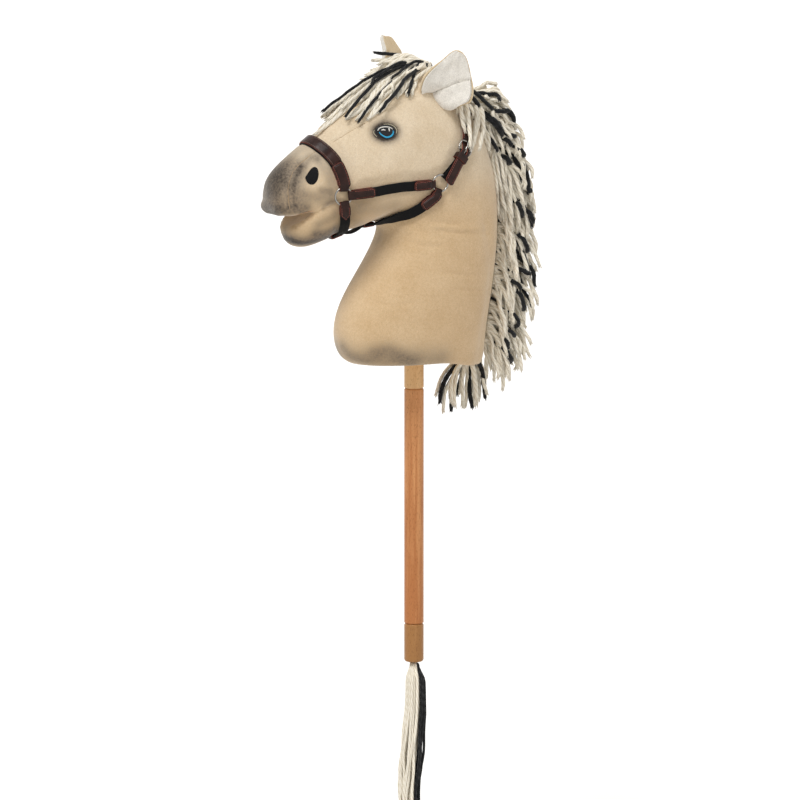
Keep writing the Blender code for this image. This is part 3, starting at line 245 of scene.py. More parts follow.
def new_piece(name, body, points, quads, triangles=None, finishes=(), uv=None, slots=None, flip=False):
    """A mesh piece from corner numbers; uv has a row per face corner, slots a material number per face."""
    triangles = np.zeros((0, 3), int) if triangles is None else triangles
    if flip:
        points = points * OTHER_SIDE
        quads, triangles = quads[:, ::-1], triangles[:, ::-1]
        if uv is not None:
            kept = uv[:4 * len(quads)].reshape(-1, 4, 2)[:, ::-1].reshape(-1, 2)
            uv = np.vstack([kept, uv[4 * len(quads):].reshape(-1, 3, 2)[:, ::-1].reshape(-1, 2)])
    corners = np.concatenate([quads.ravel(), triangles.ravel()]).astype(np.int32)
    starts = np.concatenate([np.arange(len(quads)) * 4, len(quads) * 4 + np.arange(len(triangles)) * 3])
    mesh = bpy.data.meshes.new(name)
    mesh.vertices.add(len(points))
    mesh.vertices.foreach_set("co", points.astype(np.float32).ravel())
    mesh.loops.add(len(corners))
    mesh.loops.foreach_set("vertex_index", corners)
    mesh.polygons.add(len(starts))
    mesh.polygons.foreach_set("loop_start", starts.astype(np.int32))
    mesh.update(calc_edges=True)
    if uv is not None:
        mesh.uv_layers.new(name="surface").data.foreach_set("uv", uv.astype(np.float32).ravel())
    for finish in finishes:
        mesh.materials.append(finish)
    if slots is not None:
        mesh.polygons.foreach_set("material_index", slots.astype(np.int32))
    mesh.shade_smooth()
    item = placed(name, mesh)
    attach(item, body)
    return item


def shell(name, body, rows, thickness, finishes, rise=0.0, closed=False, flip=False, lengths=None, holes=(),
          bevel=0.00035):
    """A sheet with a wall: P + n (t / 2 + rise) on top and P - n t / 2 below, with n = unit(dP/ds x dP/dv).

    The rim's wall takes the last finish. lengths is the way along for the UV; holes are (row, column)."""
    count, width = rows.shape[:2]
    along = (np.roll(rows, -1, 0) - np.roll(rows, 1, 0)) if closed else np.gradient(rows, axis=0)
    normal = unit(np.cross(along, np.gradient(rows, axis=1)))
    rise = np.broadcast_to(np.asarray(rise, float), (count, width))[..., None]
    top = (rows + normal * (thickness / 2 + rise)).reshape(-1, 3)
    below = (rows - normal * thickness / 2).reshape(-1, 3)
    i, j = (a.ravel() for a in np.meshgrid(np.arange(count if closed else count - 1), np.arange(width - 1),
                                           indexing="ij"))
    if len(holes):
        kept = ~np.isin(i * width + j, [a * width + b for a, b in holes])
        i, j = i[kept], j[kept]
    far = (i + 1) % count
    upper = np.stack([i * width + j, far * width + j, far * width + j + 1, i * width + j + 1], 1)
    total = count * width
    edges = np.stack([upper, np.roll(upper, -1, 1)], -1).reshape(-1, 2)
    codes, back = edges[:, 0] * total + edges[:, 1], edges[:, 1] * total + edges[:, 0]
    rim = edges[~np.isin(codes, back)]
    wall = np.stack([rim[:, 1], rim[:, 0], rim[:, 0] + total, rim[:, 1] + total], 1)
    quads = np.vstack([upper, upper[:, ::-1] + total, wall])
    if lengths is None:
        lengths = np.arange(count + 1) * 0.002
    sides = way_along(rows[count // 2])
    ahead = lengths[i + 1] if closed else lengths[far]
    first = np.stack([np.stack([lengths[i], ahead, ahead, lengths[i]], 1),
                      np.stack([sides[j], sides[j], sides[j + 1], sides[j + 1]], 1)], -1)
    flat = wall % total
    last = np.stack([lengths[flat // width], sides[flat % width]], -1)
    uv = np.vstack([first, first[:, ::-1], last]).reshape(-1, 2)
    slots = np.repeat([0, len(finishes) - 1], [2 * len(upper), len(wall)])
    item = new_piece(name, body, np.vstack([top, below]), quads, finishes=finishes, uv=uv, slots=slots,
                     flip=flip)
    if bevel:
        rounding = item.modifiers.new("rounded_rim", "BEVEL")
        rounding.width = bevel
        rounding.segments = 2
        rounding.limit_method = "ANGLE"
        rounding.angle_limit = math.radians(50)
    return item


def tube_arrays(paths, radii, sides, closed=False):
    """Points, quads, triangles and UV of k tubes: P + r (cos a N + sin a B), N carried along untwisted."""
    k, m = paths.shape[:2]
    tangent = unit(np.roll(paths, -1, 1) - np.roll(paths, 1, 1) if closed else np.gradient(paths, axis=1))
    seed = np.where(np.abs(tangent[:, 0, 2:]) < 0.8, (0.0, 0.0, 1.0), (1.0, 0.0, 0.0))
    normal = np.empty_like(paths)
    normal[:, 0] = unit(np.cross(tangent[:, 0], seed))
    for i in range(1, m):
        carried = normal[:, i - 1] - tangent[:, i] * (normal[:, i - 1] * tangent[:, i]).sum(-1, keepdims=True)
        normal[:, i] = unit(carried)
    side = np.cross(tangent, normal)
    a = np.linspace(0, 2 * math.pi, sides, endpoint=False)[:, None]
    radii = np.broadcast_to(radii, (k, m))[..., None, None]
    rings = paths[:, :, None] + radii * (np.cos(a) * normal[:, :, None] + np.sin(a) * side[:, :, None])
    points = rings.reshape(k, -1, 3)
    steps = np.arange(m if closed else m - 1)
    i, j = (n.ravel() for n in np.meshgrid(steps, np.arange(sides), indexing="ij"))
    far, turn = (i + 1) % m, (j + 1) % sides
    quads = np.stack([i * sides + j, i * sides + turn, far * sides + turn, far * sides + j], 1)
    step = np.linalg.norm(np.diff(paths, axis=1, append=paths[:, :1] if closed else paths[:, -1:]), axis=-1)
    way = np.concatenate([np.zeros((k, 1)), np.cumsum(step, axis=1)], 1)
    around = np.arange(sides + 1) / sides
    uv = np.stack(np.broadcast_arrays(np.stack([way[:, i], way[:, i], way[:, i + 1], way[:, i + 1]], -1),
                                      np.stack([around[j], around[j + 1], around[j + 1], around[j]], -1)), -1)
    triangles = np.zeros((k, 0, 3), int)
    ends_uv = np.zeros((k, 0, 3, 2))
    if not closed:
        points = np.concatenate([points, paths[:, :1], paths[:, -1:]], 1)
        ring, start, end = np.arange(sides), np.full(sides, m * sides), np.full(sides, m * sides + 1)
        after, tip = (ring + 1) % sides, (m - 1) * sides
        caps = np.concatenate([np.stack([start, after, ring], 1),
                               np.stack([end, ring + tip, after + tip], 1)])
        triangles = np.broadcast_to(caps, (k, *caps.shape))
        ends_uv = np.zeros((k, 2 * sides, 3, 2))
        ends_uv[:, sides:, :, 0] = way[:, -1, None, None]
    shift = (np.arange(k) * points.shape[1])[:, None, None]
    uv = np.vstack([uv.reshape(-1, 2), ends_uv.reshape(-1, 2)])
    return points.reshape(-1, 3), (quads + shift).reshape(-1, 4), (triangles + shift).reshape(-1, 3), uv


def tubes(name, body, paths, radii, sides, finish, closed=False, flip=False, values=None):
    """A piece of k round tubes; values gives each tube a number of its own in the attribute shade."""
    points, quads, triangles, uv = tube_arrays(paths, radii, sides, closed)
    item = new_piece(name, body, points, quads, triangles, (finish,), uv, flip=flip)
    if values is not None:
        number_points(item.data, "shade", np.repeat(values, len(points) // len(paths)))
    return item


def joined(node):
    """A solid's mesh with its loose triangles joined at their corners, as a bmesh."""
    body = bmesh.new()
    body.from_mesh(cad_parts[node].data)
    bmesh.ops.remove_doubles(body, verts=body.verts, dist=1e-5)
    return body


def dressed(node, body, finish, bevel=0.0, rounding=0, sharp=40.0):
    """A piece of a solid's own shape, joined and smooth up to a sharp angle, in its finish."""
    shape = joined(node)
    for edge in shape.edges:
        edge.smooth = len(edge.link_faces) == 2 and edge.calc_face_angle(0.0) < math.radians(sharp)
    for face in shape.faces:
        face.smooth = True
        face.material_index = 0
    mesh = bpy.data.meshes.new("dressed_" + node)
    shape.to_mesh(mesh)
    shape.free()
    mesh.materials.clear()
    mesh.materials.append(finish)
    item = placed("dressed_" + node, mesh)
    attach(item, body)
    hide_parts(node)
    if bevel:
        edge = item.modifiers.new("worn_edges", "BEVEL")
        edge.width = bevel
        edge.segments = 3
        edge.limit_method = "ANGLE"
        edge.angle_limit = math.radians(sharp)
    if rounding:
        soft = item.modifiers.new("rounding", "SUBSURF")
        soft.levels = soft.render_levels = rounding
    return item


def put(item, slot, *nodes):
    """Hides the solids that a piece stands for and returns the piece; slot is not used."""
    if nodes:
        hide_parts(*nodes)
    return item


print("helpers ready")

# %% [markdown]
# ## Plush, fleece, felt and cloth
# The head is short-pile polyester plush, knitted with a nap under 2 mm. It has no gloss, only a soft sheen at
# grazing angles, a slightly mottled colour where the nap leans, and grey airbrush round the eyes and muzzle.
# The same strokes also paint shade into a seam, the crease under the upper lip and the neck's bottom.
# Airbrush and painted shade are a number on each point, mixed in by the shader and broken up by noise, as a
# spray is.
# Below the cheeks the neck is tinted darker, a painted shade, so that the head above looks paler.

# %% Pile cloths


def pile_cloth(name, pale, deep, sheen, pile, nap, airbrush_and_shade=None, lower_neck_shade=None):
    """Brushed cloth: colour mottled 45 mm across, a nap that leans in patches, and pile as bump, in metres.

    airbrush_and_shade is the grey and the black that the airbrush and the painted shade mix in;
    lower_neck_shade is the darker tone of the neck's painted shade, and the heights below which it is full
    and above which it is gone."""
    made, tree, shader = new_material(name, {
        "Roughness": 0.95, "Sheen Weight": sheen, "Sheen Roughness": 0.5, "Specular IOR Level": 0.15,
        "Sheen Tint": linear("F4F1EC")})
    place = add(tree, "TexCoord").outputs["Object"]
    broad = add(tree, "TexNoise", {"Vector": place, "Scale": 22.0, "Detail": 3.0})
    leaning = add(tree, "TexNoise", {"Vector": place, "Scale": 1 / nap, "Detail": 4.0, "Distortion": 0.6})
    fine = add(tree, "TexNoise", {"Vector": place, "Scale": 1 / pile, "Detail": 3.0, "Roughness": 0.7})
    patchy = add(tree, "Math", {0: leaning, 1: 0.9, 2: broad}, operation="MULTIPLY_ADD")
    spread = add(tree, "MapRange", {"Value": patchy, "From Min": 0.65, "From Max": 1.25})
    colour = add(tree, "Mix", {0: spread, 6: linear(deep), 7: linear(pale)}, data_type="RGBA").outputs[2]
    # Painted shade at pile scale: where the fine bump is low the colour is darker
    tips = add(tree, "MapRange", {"Value": fine, "From Min": 0.3, "From Max": 0.7, "To Min": 0.8,
                                  "To Max": 1.1})
    colour = add(tree, "Mix", {0: 1.0, 6: colour, 7: tips}, data_type="RGBA",
                 blend_type="MULTIPLY").outputs[2]
    # Painted shade: below the first height the neck is multiplied by a darker tone, fading out by the second
    if lower_neck_shade:
        height = add(tree, "SeparateXYZ", {0: place}).outputs[2]
        painted_shade_share = add(tree, "MapRange", {"Value": height, "From Min": lower_neck_shade[1], "From Max": lower_neck_shade[2],
                                       "To Min": 1.0, "To Max": 0.0}, interpolation_type="SMOOTHSTEP")
        colour = add(tree, "Mix", {0: painted_shade_share, 6: colour, 7: linear(lower_neck_shade[0])}, data_type="RGBA",
                     blend_type="MULTIPLY").outputs[2]
    # The attribute holds the airbrush and the painted shade of a seam, a crease and the neck's bottom
    if airbrush_and_shade:
        spray_and_shade_share = add(tree, "Attribute", attribute_name="airbrush_and_shade").outputs["Fac"]
        drops = add(tree, "MapRange", {"Value": leaning, "From Min": 0.3, "From Max": 0.7, "To Min": 0.8,
                                       "To Max": 1.2})
        amount = add(tree, "Math", {0: spray_and_shade_share, 1: drops}, operation="MULTIPLY", use_clamp=True)
        colour = add(tree, "Mix", {0: amount, 6: colour, 7: linear(airbrush_and_shade[0])}, data_type="RGBA").outputs[2]
        black = add(tree, "MapRange", {"Value": spray_and_shade_share, "From Min": 0.78, "From Max": 1.06})
        colour = add(tree, "Mix", {0: black, 6: colour, 7: linear(airbrush_and_shade[1])}, data_type="RGBA").outputs[2]
    height = add(tree, "Math", {0: leaning, 1: 1.2, 2: fine}, operation="MULTIPLY_ADD")
    bump = add(tree, "Bump", {"Height": height, "Strength": 0.55, "Distance": 0.0008})
    plug(shader, {"Base Color": colour, "Normal": bump})
    return made


# The grey and black serve the airbrush and the painted shade; F1E3CF is the neck's painted shade below 0.20
# m, gone by 0.31 m
PLUSH = pile_cloth("short_pile_plush", "EADAC1", "D8C3A4", 0.65, 0.0010, 0.0032, ("584E46", "1A1715"),
                   ("F1E3CF", 0.20, 0.31))
BASE_PLUSH = pile_cloth("knitted_backing", "D3BE98", "C0A77E", 0.1, 0.0012, 0.004)
EAR_BACK = pile_cloth("ear_plush", "EAD8BA", "DCC59E", 0.3, 0.0009, 0.0045)
FLEECE = pile_cloth("white_fleece", "EFECE6", "E3DFD7", 0.35, 0.0018, 0.006)
MOUTH_CLOTH = pile_cloth("peach_mouth_cloth", "DDBE9C", "C69F79", 0.1, 0.0009, 0.004)
FELT = pile_cloth("black_wool_felt", "1B1B1D", "0E0E10", 0.1, 0.0007, 0.002)
WADDING = pile_cloth("polyester_wadding", "F2F0EC", "DEDAD2", 0.1, 0.002, 0.006)
print("pile cloths ready")

# %% [markdown]
# ## Yarn and thread
# The mane is acrylic yarn of three plies. The twist runs round each strand, so the pattern follows the
# strand's own UV: across is one turn, along is metres. The grooves between the plies are painted a little
# darker, as shade.

# %% Yarn, embroidery thread and sewing thread


def spun(name, pale, deep, pitch, plies, depth, roughness=0.9, sheen=0.2, shades=True):
    """Twisted yarn: a ply's height is |sin(pi (plies a - s / pitch))|, a turns round and s metres along."""
    made, tree, shader = new_material(name, {
        "Roughness": roughness, "Sheen Weight": sheen, "Specular IOR Level": 0.2})
    parts = add(tree, "SeparateXYZ", {0: add(tree, "UVMap")})
    along = add(tree, "Math", {0: parts.outputs[0], 1: pitch}, operation="DIVIDE")
    phase = add(tree, "Math", {0: parts.outputs[1], 1: float(plies), 2: along}, operation="MULTIPLY_ADD")
    angle = add(tree, "Math", {0: phase, 1: math.pi}, operation="MULTIPLY")
    wave = add(tree, "Math", {0: angle}, operation="SINE")
    ply = add(tree, "Math", {0: wave}, operation="ABSOLUTE")
    fuzz = add(tree, "TexNoise", {"Vector": add(tree, "TexCoord").outputs["Object"], "Scale": 900.0,
                                  "Detail": 3.0})
    grown = add(tree, "Math", {0: fuzz, 1: 0.5, 2: ply}, operation="MULTIPLY_ADD")
    # Painted shade: deep colour in the grooves between the plies, pale on their tops
    shown = add(tree, "MapRange", {"Value": grown, "From Min": 0.25, "From Max": 0.95})
    colour = add(tree, "Mix", {0: shown, 6: linear(deep), 7: linear(pale)}, data_type="RGBA").outputs[2]
    if shades:
        shade = add(tree, "Attribute", attribute_name="shade").outputs["Fac"]
        colour = add(tree, "Mix", {0: 1.0, 6: colour, 7: shade}, data_type="RGBA",
                     blend_type="MULTIPLY").outputs[2]
    bump = add(tree, "Bump", {"Height": grown, "Strength": 0.8, "Distance": depth})
    plug(shader, {"Base Color": colour, "Normal": bump})
    return made


WHITE_YARN = spun("white_acrylic_yarn", "F8F2E4", "DCD1BA", 0.011, 3, 0.0005)
BLACK_YARN = spun("black_acrylic_yarn", "1A1B1E", "070708", 0.011, 3, 0.0006)
RED_THREAD = spun("red_waxed_thread", "A65848", "6B2E26", 0.0016, 3, 0.0002, 0.6, shades=False)
TAN_THREAD = spun("tan_waxed_thread", "8D6C5C", "54392F", 0.0016, 3, 0.0002, 0.6, shades=False)
SAND_THREAD = spun("sand_polyester_thread", "B99C76", "937853", 0.0016, 3, 0.0002, 0.6, shades=False)


def satin_thread(name, pale, deep, spacing):
    """Embroidery: fine parallel threads across the band, sin(2 pi s / spacing), with a silky sheen."""
    made, tree, shader = new_material(name, {
        "Roughness": 0.42, "Sheen Weight": 0.2, "Anisotropic": 0.4, "Specular IOR Level": 0.2})
    parts = add(tree, "SeparateXYZ", {0: add(tree, "UVMap")})
    angle = add(tree, "Math", {0: parts.outputs[0], 1: 2 * math.pi / spacing}, operation="MULTIPLY")
    wave = add(tree, "Math", {0: angle}, operation="SINE")
    # Painted shade: the colour is deep between the threads and pale on them
    shown = add(tree, "MapRange", {"Value": wave, "From Min": -1.0, "From Max": 0.4})
    colour = add(tree, "Mix", {0: shown, 6: linear(deep), 7: linear(pale)}, data_type="RGBA").outputs[2]
    bump = add(tree, "Bump", {"Height": wave, "Strength": 0.5, "Distance": 0.0002})
    plug(shader, {"Base Color": colour, "Normal": bump})
    return made


# Rayon thread is 0.4 mm; the rows are drawn 0.7 mm apart, as coarse as a close view can show
BLACK_SATIN = satin_thread("black_rayon_thread", "191A1E", "08080A", 0.0007)
BLUE_SATIN = satin_thread("blue_rayon_thread", "35B4E4", "1A83B4", 0.0007)
WHITE_SATIN = satin_thread("white_rayon_thread", "F4F3EE", "C9C6BC", 0.0007)
CREAM_SATIN = satin_thread("cream_rayon_thread", "CFC7AE", "938A72", 0.0007)
print("yarns and threads ready")

# %% [markdown]
# ## Webbing, leather, steel and brass
# The halter is black polyester webbing with full-grain leather sewn over it. Webbing shows its weave: two
# rows of thread at right angles. Leather shows pebbled grain with creases, a soft shine, and cut edges
# stained red-brown. The rings and the buckle are nickel-plated steel wire, bright with a few fine scratches.

# %% Halter materials


def woven(name, pale, deep, thread, roughness):
    """A weave from the strap's UV, raised where yarns cross: sin(2 pi s / 1.25 w) sin(2 pi v / w)."""
    made, tree, shader = new_material(name, {
        "Roughness": roughness, "Sheen Weight": 0.05, "Specular IOR Level": 0.1})
    parts = add(tree, "SeparateXYZ", {0: add(tree, "UVMap")})
    waves = []
    for axis, spacing in ((0, thread * 1.25), (1, thread)):
        angle = add(tree, "Math", {0: parts.outputs[axis], 1: 2 * math.pi / spacing}, operation="MULTIPLY")
        waves.append(add(tree, "Math", {0: angle}, operation="SINE"))
    weave = add(tree, "Math", {0: waves[0], 1: waves[1]}, operation="MULTIPLY")
    fibre = add(tree, "TexNoise", {"Vector": add(tree, "TexCoord").outputs["Object"], "Scale": 1400.0})
    grown = add(tree, "Math", {0: fibre, 1: 0.4, 2: weave}, operation="MULTIPLY_ADD")
    # Painted shade: the weave's low parts take the deep colour
    shown = add(tree, "MapRange", {"Value": grown, "From Min": -0.7, "From Max": 1.1})
    colour = add(tree, "Mix", {0: shown, 6: linear(deep), 7: linear(pale)}, data_type="RGBA").outputs[2]
    bump = add(tree, "Bump", {"Height": grown, "Strength": 0.6, "Distance": 0.0003})
    plug(shader, {"Base Color": colour, "Normal": bump})
    return made


def hide(name, pale, deep, roughness, grain=0.0011):
    """Leather: pebbles a millimetre across from Voronoi cells, fine creases and a worn, darker mottle."""
    made, tree, shader = new_material(name, {"Specular IOR Level": 0.18})
    place = add(tree, "TexCoord").outputs["Object"]
    pebbles = add(tree, "TexVoronoi", {"Vector": place, "Scale": 1 / grain, "Smoothness": 0.6},
                  feature="SMOOTH_F1")
    creases = add(tree, "TexNoise", {"Vector": place, "Scale": 500.0, "Detail": 5.0, "Roughness": 0.6})
    wear = add(tree, "TexNoise", {"Vector": place, "Scale": 90.0, "Detail": 4.0})
    grown = add(tree, "Math", {0: creases, 1: 0.6, 2: pebbles}, operation="MULTIPLY_ADD")
    shown = add(tree, "MapRange", {"Value": wear, "From Min": 0.3, "From Max": 0.7})
    colour = add(tree, "Mix", {0: shown, 6: linear(deep), 7: linear(pale)}, data_type="RGBA").outputs[2]
    gloss = add(tree, "MapRange", {"Value": creases, "From Min": 0.3, "From Max": 0.7,
                                   "To Min": roughness - 0.06, "To Max": roughness + 0.08})
    bump = add(tree, "Bump", {"Height": grown, "Strength": 0.35, "Distance": 0.0003})
    plug(shader, {"Base Color": colour, "Roughness": gloss, "Normal": bump})
    return made


def bright_metal(name, pale, roughness):
    """Plated wire: metallic, with streaks of roughness 2 mm apart and hairline scratches."""
    made, tree, shader = new_material(name, {"Metallic": 1.0, "Base Color": linear(pale)})
    place = add(tree, "TexCoord").outputs["Object"]
    wipe = add(tree, "TexNoise", {"Vector": place, "Scale": 500.0, "Detail": 5.0, "Distortion": 1.5})
    gloss = add(tree, "MapRange", {"Value": wipe, "From Min": 0.3, "From Max": 0.7, "To Min": roughness * 0.6,
                                   "To Max": roughness * 1.6})
    bump = add(tree, "Bump", {"Height": wipe, "Strength": 0.08, "Distance": 0.0001})
    plug(shader, {"Roughness": gloss, "Normal": bump})
    return made


# Webbing yarn is 0.9 mm; the weave is drawn at 1.3 mm so that a close view shows it
WEBBING = woven("black_polyester_webbing", "19191A", "050505", 0.0013, 0.8)
TAPE = woven("beige_cotton_tape", "CDBD9D", "9A8A6A", 0.0014, 0.9)
LEATHER = hide("full_grain_leather", "331D18", "20100C", 0.30)
CUT_EDGE = hide("stained_leather_edge", "9C4F40", "6E352A", 0.6)
STEEL = bright_metal("nickel_plated_steel", "918E89", 0.16)
ZINC_STEEL = bright_metal("zinc_plated_steel", "C3C6CA", 0.28)
BRASS = bright_metal("yellow_brass", "CBA85A", 0.3)
print("halter materials ready")

# %% [markdown]
# ## Beech
# The stick is turned beech under clear satin lacquer. Beech has no strong rings: it shows faint long streaks
# and many short dark flecks, its rays, 2 to 4 mm long. The grain runs along Z, so the noise is squeezed
# there.

# %% Beech


def beech(name, pale, deep, fleck):
    """Streaks from noise stretched 20 times along Z, ray flecks from 6 times; the tone rises with height as
    painted light.
    """
    made, tree, shader = new_material(name, {
        "Roughness": 0.42, "Coat Weight": 0.05, "Coat Roughness": 0.3, "Specular IOR Level": 0.25})
    place = add(tree, "TexCoord").outputs["Object"]
    long_way = add(tree, "Mapping", {"Vector": place, "Scale": (1.0, 1.0, 0.05)})
    streaks = add(tree, "TexNoise", {"Vector": long_way, "Scale": 260.0, "Detail": 5.0, "Distortion": 0.4})
    short_way = add(tree, "Mapping", {"Vector": place, "Scale": (1.0, 1.0, 0.16)})
    rays = add(tree, "TexNoise", {"Vector": short_way, "Scale": 1500.0, "Detail": 2.0})
    broad = add(tree, "TexNoise", {"Vector": long_way, "Scale": 60.0, "Detail": 2.0})
    # Painted light: the tone rises with height, so the upper stick looks brighter
    height = add(tree, "SeparateXYZ", {0: place}).outputs[2]
    lift = add(tree, "Math", {0: height, 1: 1.2, 2: 0.24}, operation="MULTIPLY_ADD")
    tone = add(tree, "Math", {0: broad, 1: 0.8, 2: streaks}, operation="MULTIPLY_ADD")
    tone = add(tree, "Math", {0: tone, 1: lift}, operation="ADD")
    shown = add(tree, "MapRange", {"Value": tone, "From Min": 0.68, "From Max": 1.12})
    colour = add(tree, "Mix", {0: shown, 6: linear(deep), 7: linear(pale)}, data_type="RGBA").outputs[2]
    cut = add(tree, "MapRange", {"Value": rays, "From Min": 0.6, "From Max": 0.68, "To Max": 0.75})
    colour = add(tree, "Mix", {0: cut, 6: colour, 7: linear(fleck)}, data_type="RGBA").outputs[2]
    bump = add(tree, "Bump", {"Height": streaks, "Strength": 0.15, "Distance": 0.0002})
    plug(shader, {"Base Color": colour, "Normal": bump})
    return made


PALE_BEECH = beech("pale_lacquered_beech", "E0B683", "CB9A66", "A1703F")
RED_BEECH = beech("steamed_beech", "CF9360", "B37343", "804A28")
CAP_BEECH = beech("dark_lacquered_beech", "C0905F", "A27343", "714727")
print("beech ready")

# %% [markdown]
# ## The skin as a guide
# Straps, yarn and patches all lie on the plush, so the first thing to find is its outer surface. The solid is
# a cover with a wall; a face belongs to the outside when the filling lies behind it. Its nearest point and
# smooth normal then seat every other piece, and a ray from the camera finds the skin under a pixel.

# %% The outer skin
RIM_HEIGHT = 0.0003
NEAR = 1e-5
shape = joined("head_cover")
filling = BVHTree.FromBMesh(joined("stuffing"))
inner = []
for face in shape.faces:
    middle = face.calc_center_median()
    ahead = (filling.find_nearest(middle)[0] - middle).dot(face.normal)
    at_rim = max(v.co.z for v in face.verts) < RIM_HEIGHT
    if ahead > 0 or at_rim:
        inner.append(face)
bmesh.ops.delete(shape, geom=inner, context="FACES")
bmesh.ops.join_triangles(shape, faces=shape.faces, angle_face_threshold=math.pi,
                         angle_shape_threshold=math.pi)
skin_mesh = bpy.data.meshes.new("skin_guide")
shape.to_mesh(skin_mesh)
shape.free()


def tree_of(mesh):
    return BVHTree.FromPolygons([v.co[:] for v in mesh.vertices], [p.vertices[:] for p in mesh.polygons])


class Surface:
    """A mesh that other pieces lie on: its points, their normals and a search tree of its faces."""

    def __init__(self, mesh):
        self.points = np.array([v.co[:] for v in mesh.vertices])
        self.normals = np.array([v.normal[:] for v in mesh.vertices])
        self.corners = np.array([(*p.vertices, p.vertices[0])[:4] for p in mesh.polygons])
        self.tree = tree_of(mesh)

    def smooth_normals(self, spots, faces):
        """The normals of each face's corners, weighed by 1 / distance."""
        corners = self.corners[faces]
        weights = 1 / (np.linalg.norm(self.points[corners] - spots[:, None], axis=-1) + NEAR)
        return unit((self.normals[corners] * weights[..., None]).sum(1))

    def nearest(self, points):
        """The surface's nearest point to each given one, and its smooth normal there."""
        points = np.asarray(points, float)
        found = [self.tree.find_nearest(Vector(p)) for p in points.reshape(-1, 3)]
        spots = np.array([f[0] for f in found])
        normals = self.smooth_normals(spots, [f[2] for f in found])
        return spots.reshape(points.shape), normals.reshape(points.shape)


SKIN = Surface(skin_mesh)
on_skin = SKIN.nearest


def seen(pixels):
    """The skin's points and normals that the camera sees at the given pixels."""
    spots, faces = [], []
    for x, y in pixels:
        ray = Vector(at_pixel(x, y) - EYE_POINT).normalized()
        hit = SKIN.tree.ray_cast(Vector(EYE_POINT), ray)
        spot, face = (hit[0], hit[2]) if hit[0] else SKIN.tree.find_nearest(Vector(at_pixel(x, y)))[0:3:2]
        spots.append(spot)
        faces.append(face)
    spots = np.array(spots)
    return spots, SKIN.smooth_normals(spots, faces)


def curve_through(points, count, closed=False):
    """count points even along a Catmull-Rom curve through the given ones."""
    p = np.asarray(points, float)
    p = np.vstack([p[-1:], p, p[:2]]) if closed else np.vstack([2 * p[0] - p[1], p, 2 * p[-1] - p[-2]])
    t = np.linspace(0, 1, 16, endpoint=False)[:, None, None]
    a, b, c, d = (p[k:len(p) - 3 + k][None] for k in range(4))
    q = 0.5 * (2 * b + (c - a) * t + (2 * a - 5 * b + 4 * c - d) * t ** 2 + (3 * b - a - 3 * c + d) * t ** 3)
    q = q.transpose(1, 0, 2).reshape(-1, p.shape[1])
    q = np.vstack([q, q[:1] if closed else p[-2:-1]])
    way = way_along(q)
    even = np.linspace(0, way[-1], count, endpoint=not closed)
    return np.stack([np.interp(even, way, q[:, k]) for k in range(p.shape[1])], 1)


print("skin faces:", len(skin_mesh.polygons), "points:", len(SKIN.points))

# %% [markdown]
# ## The stuffed head
# Plush stretched over wadding swells between whatever ties it down and dents under each strap. The closed
# skin is remeshed with 4 mm cells and blown up as cloth from inside. How far it may swell is then limited:
# hardly at all under the halter, freely 15 mm away from it. Seams, creases and the recess of the neck's
# bottom are narrower than a cell, so they are pressed in afterwards, each along a line drawn over the skin.
# The neck's rear edge sags a little under the mane's weight.

# %% The head's cloth
VOXEL = 0.004
CLOTH_PRESSURE = 4.0
CLOTH_FRAMES = 20
TIED_HEIGHT, FREE_HEIGHT, SWELL_LIMIT = 0.0005, 0.0010, 0.0022
STRAP_REACH = (0.0015, 0.015)
PANEL_RECESS, PANEL_RIM = 0.0030, 0.0045
REAR_SAG, SAG_FROM, SAG_HEIGHT = 0.0095, (0.010, 0.085), 0.050
TIED_WORDS = ("noseband", "chin", "throat", "cheek", "jaw", "crown", "buckle", "keeper", "eye", "nostril",
              "mane_tape")


def result_of(item):
    """A new mesh with the object's modifiers applied; the object is then removed."""
    mesh = bpy.data.meshes.new_from_object(item.evaluated_get(bpy.context.evaluated_depsgraph_get()))
    bpy.data.objects.remove(item)
    return mesh


def worked(mesh, *modifiers):
    """The mesh after modifiers given as (kind, {setting: value})."""
    item = placed("worked", mesh)
    for kind, settings in modifiers:
        step = item.modifiers.new(kind, kind)
        for name, value in settings.items():
            setattr(step, name, value)
    return result_of(item)


def coordinates(mesh):
    flat = np.empty(len(mesh.vertices) * 3, np.float32)
    mesh.vertices.foreach_get("co", flat)
    return flat.reshape(-1, 3).astype(float)


def eased(value, low, high):
    """0 below low, 1 above high, t^2 (3 - 2 t) between."""
    t = np.clip((value - low) / (high - low), 0, 1)
    return t * t * (3 - 2 * t)


def blown_up(mesh):
    """The points of a closed mesh after cloth pressure from inside."""
    item = placed("cloth", mesh)
    cloth = item.modifiers.new("cloth", "CLOTH")
    cloth.settings.use_pressure = True
    cloth.settings.uniform_pressure_force = CLOTH_PRESSURE
    cloth.settings.effector_weights.gravity = 0.0
    cloth.point_cache.frame_end = CLOTH_FRAMES
    for number in range(1, CLOTH_FRAMES + 1):
        bpy.context.scene.frame_set(number)
    points = coordinates(item.evaluated_get(bpy.context.evaluated_depsgraph_get()).data)
    bpy.data.objects.remove(item)
    bpy.context.scene.frame_set(1)
    return points


closed = bmesh.new()
closed.from_mesh(skin_mesh)
bmesh.ops.holes_fill(closed, edges=[e for e in closed.edges if e.is_boundary])
skin_closed = bpy.data.meshes.new("skin_closed")
closed.to_mesh(skin_closed)
closed.free()
smooth_guide = Surface(worked(skin_mesh.copy(), ("SUBSURF", {"levels": 2, "render_levels": 2})))
cloth_mesh = worked(skin_closed, ("REMESH", {"mode": "VOXEL", "voxel_size": VOXEL}),
                    ("SMOOTH", {"factor": 0.5, "iterations": 6}))
before = coordinates(cloth_mesh)
after = blown_up(cloth_mesh)
swell = np.linalg.norm(after - before, axis=1)
number_points(cloth_mesh, "swell", swell)
print("cloth points:", len(before), "most swell in mm:", round(swell.max() * 1000, 1))
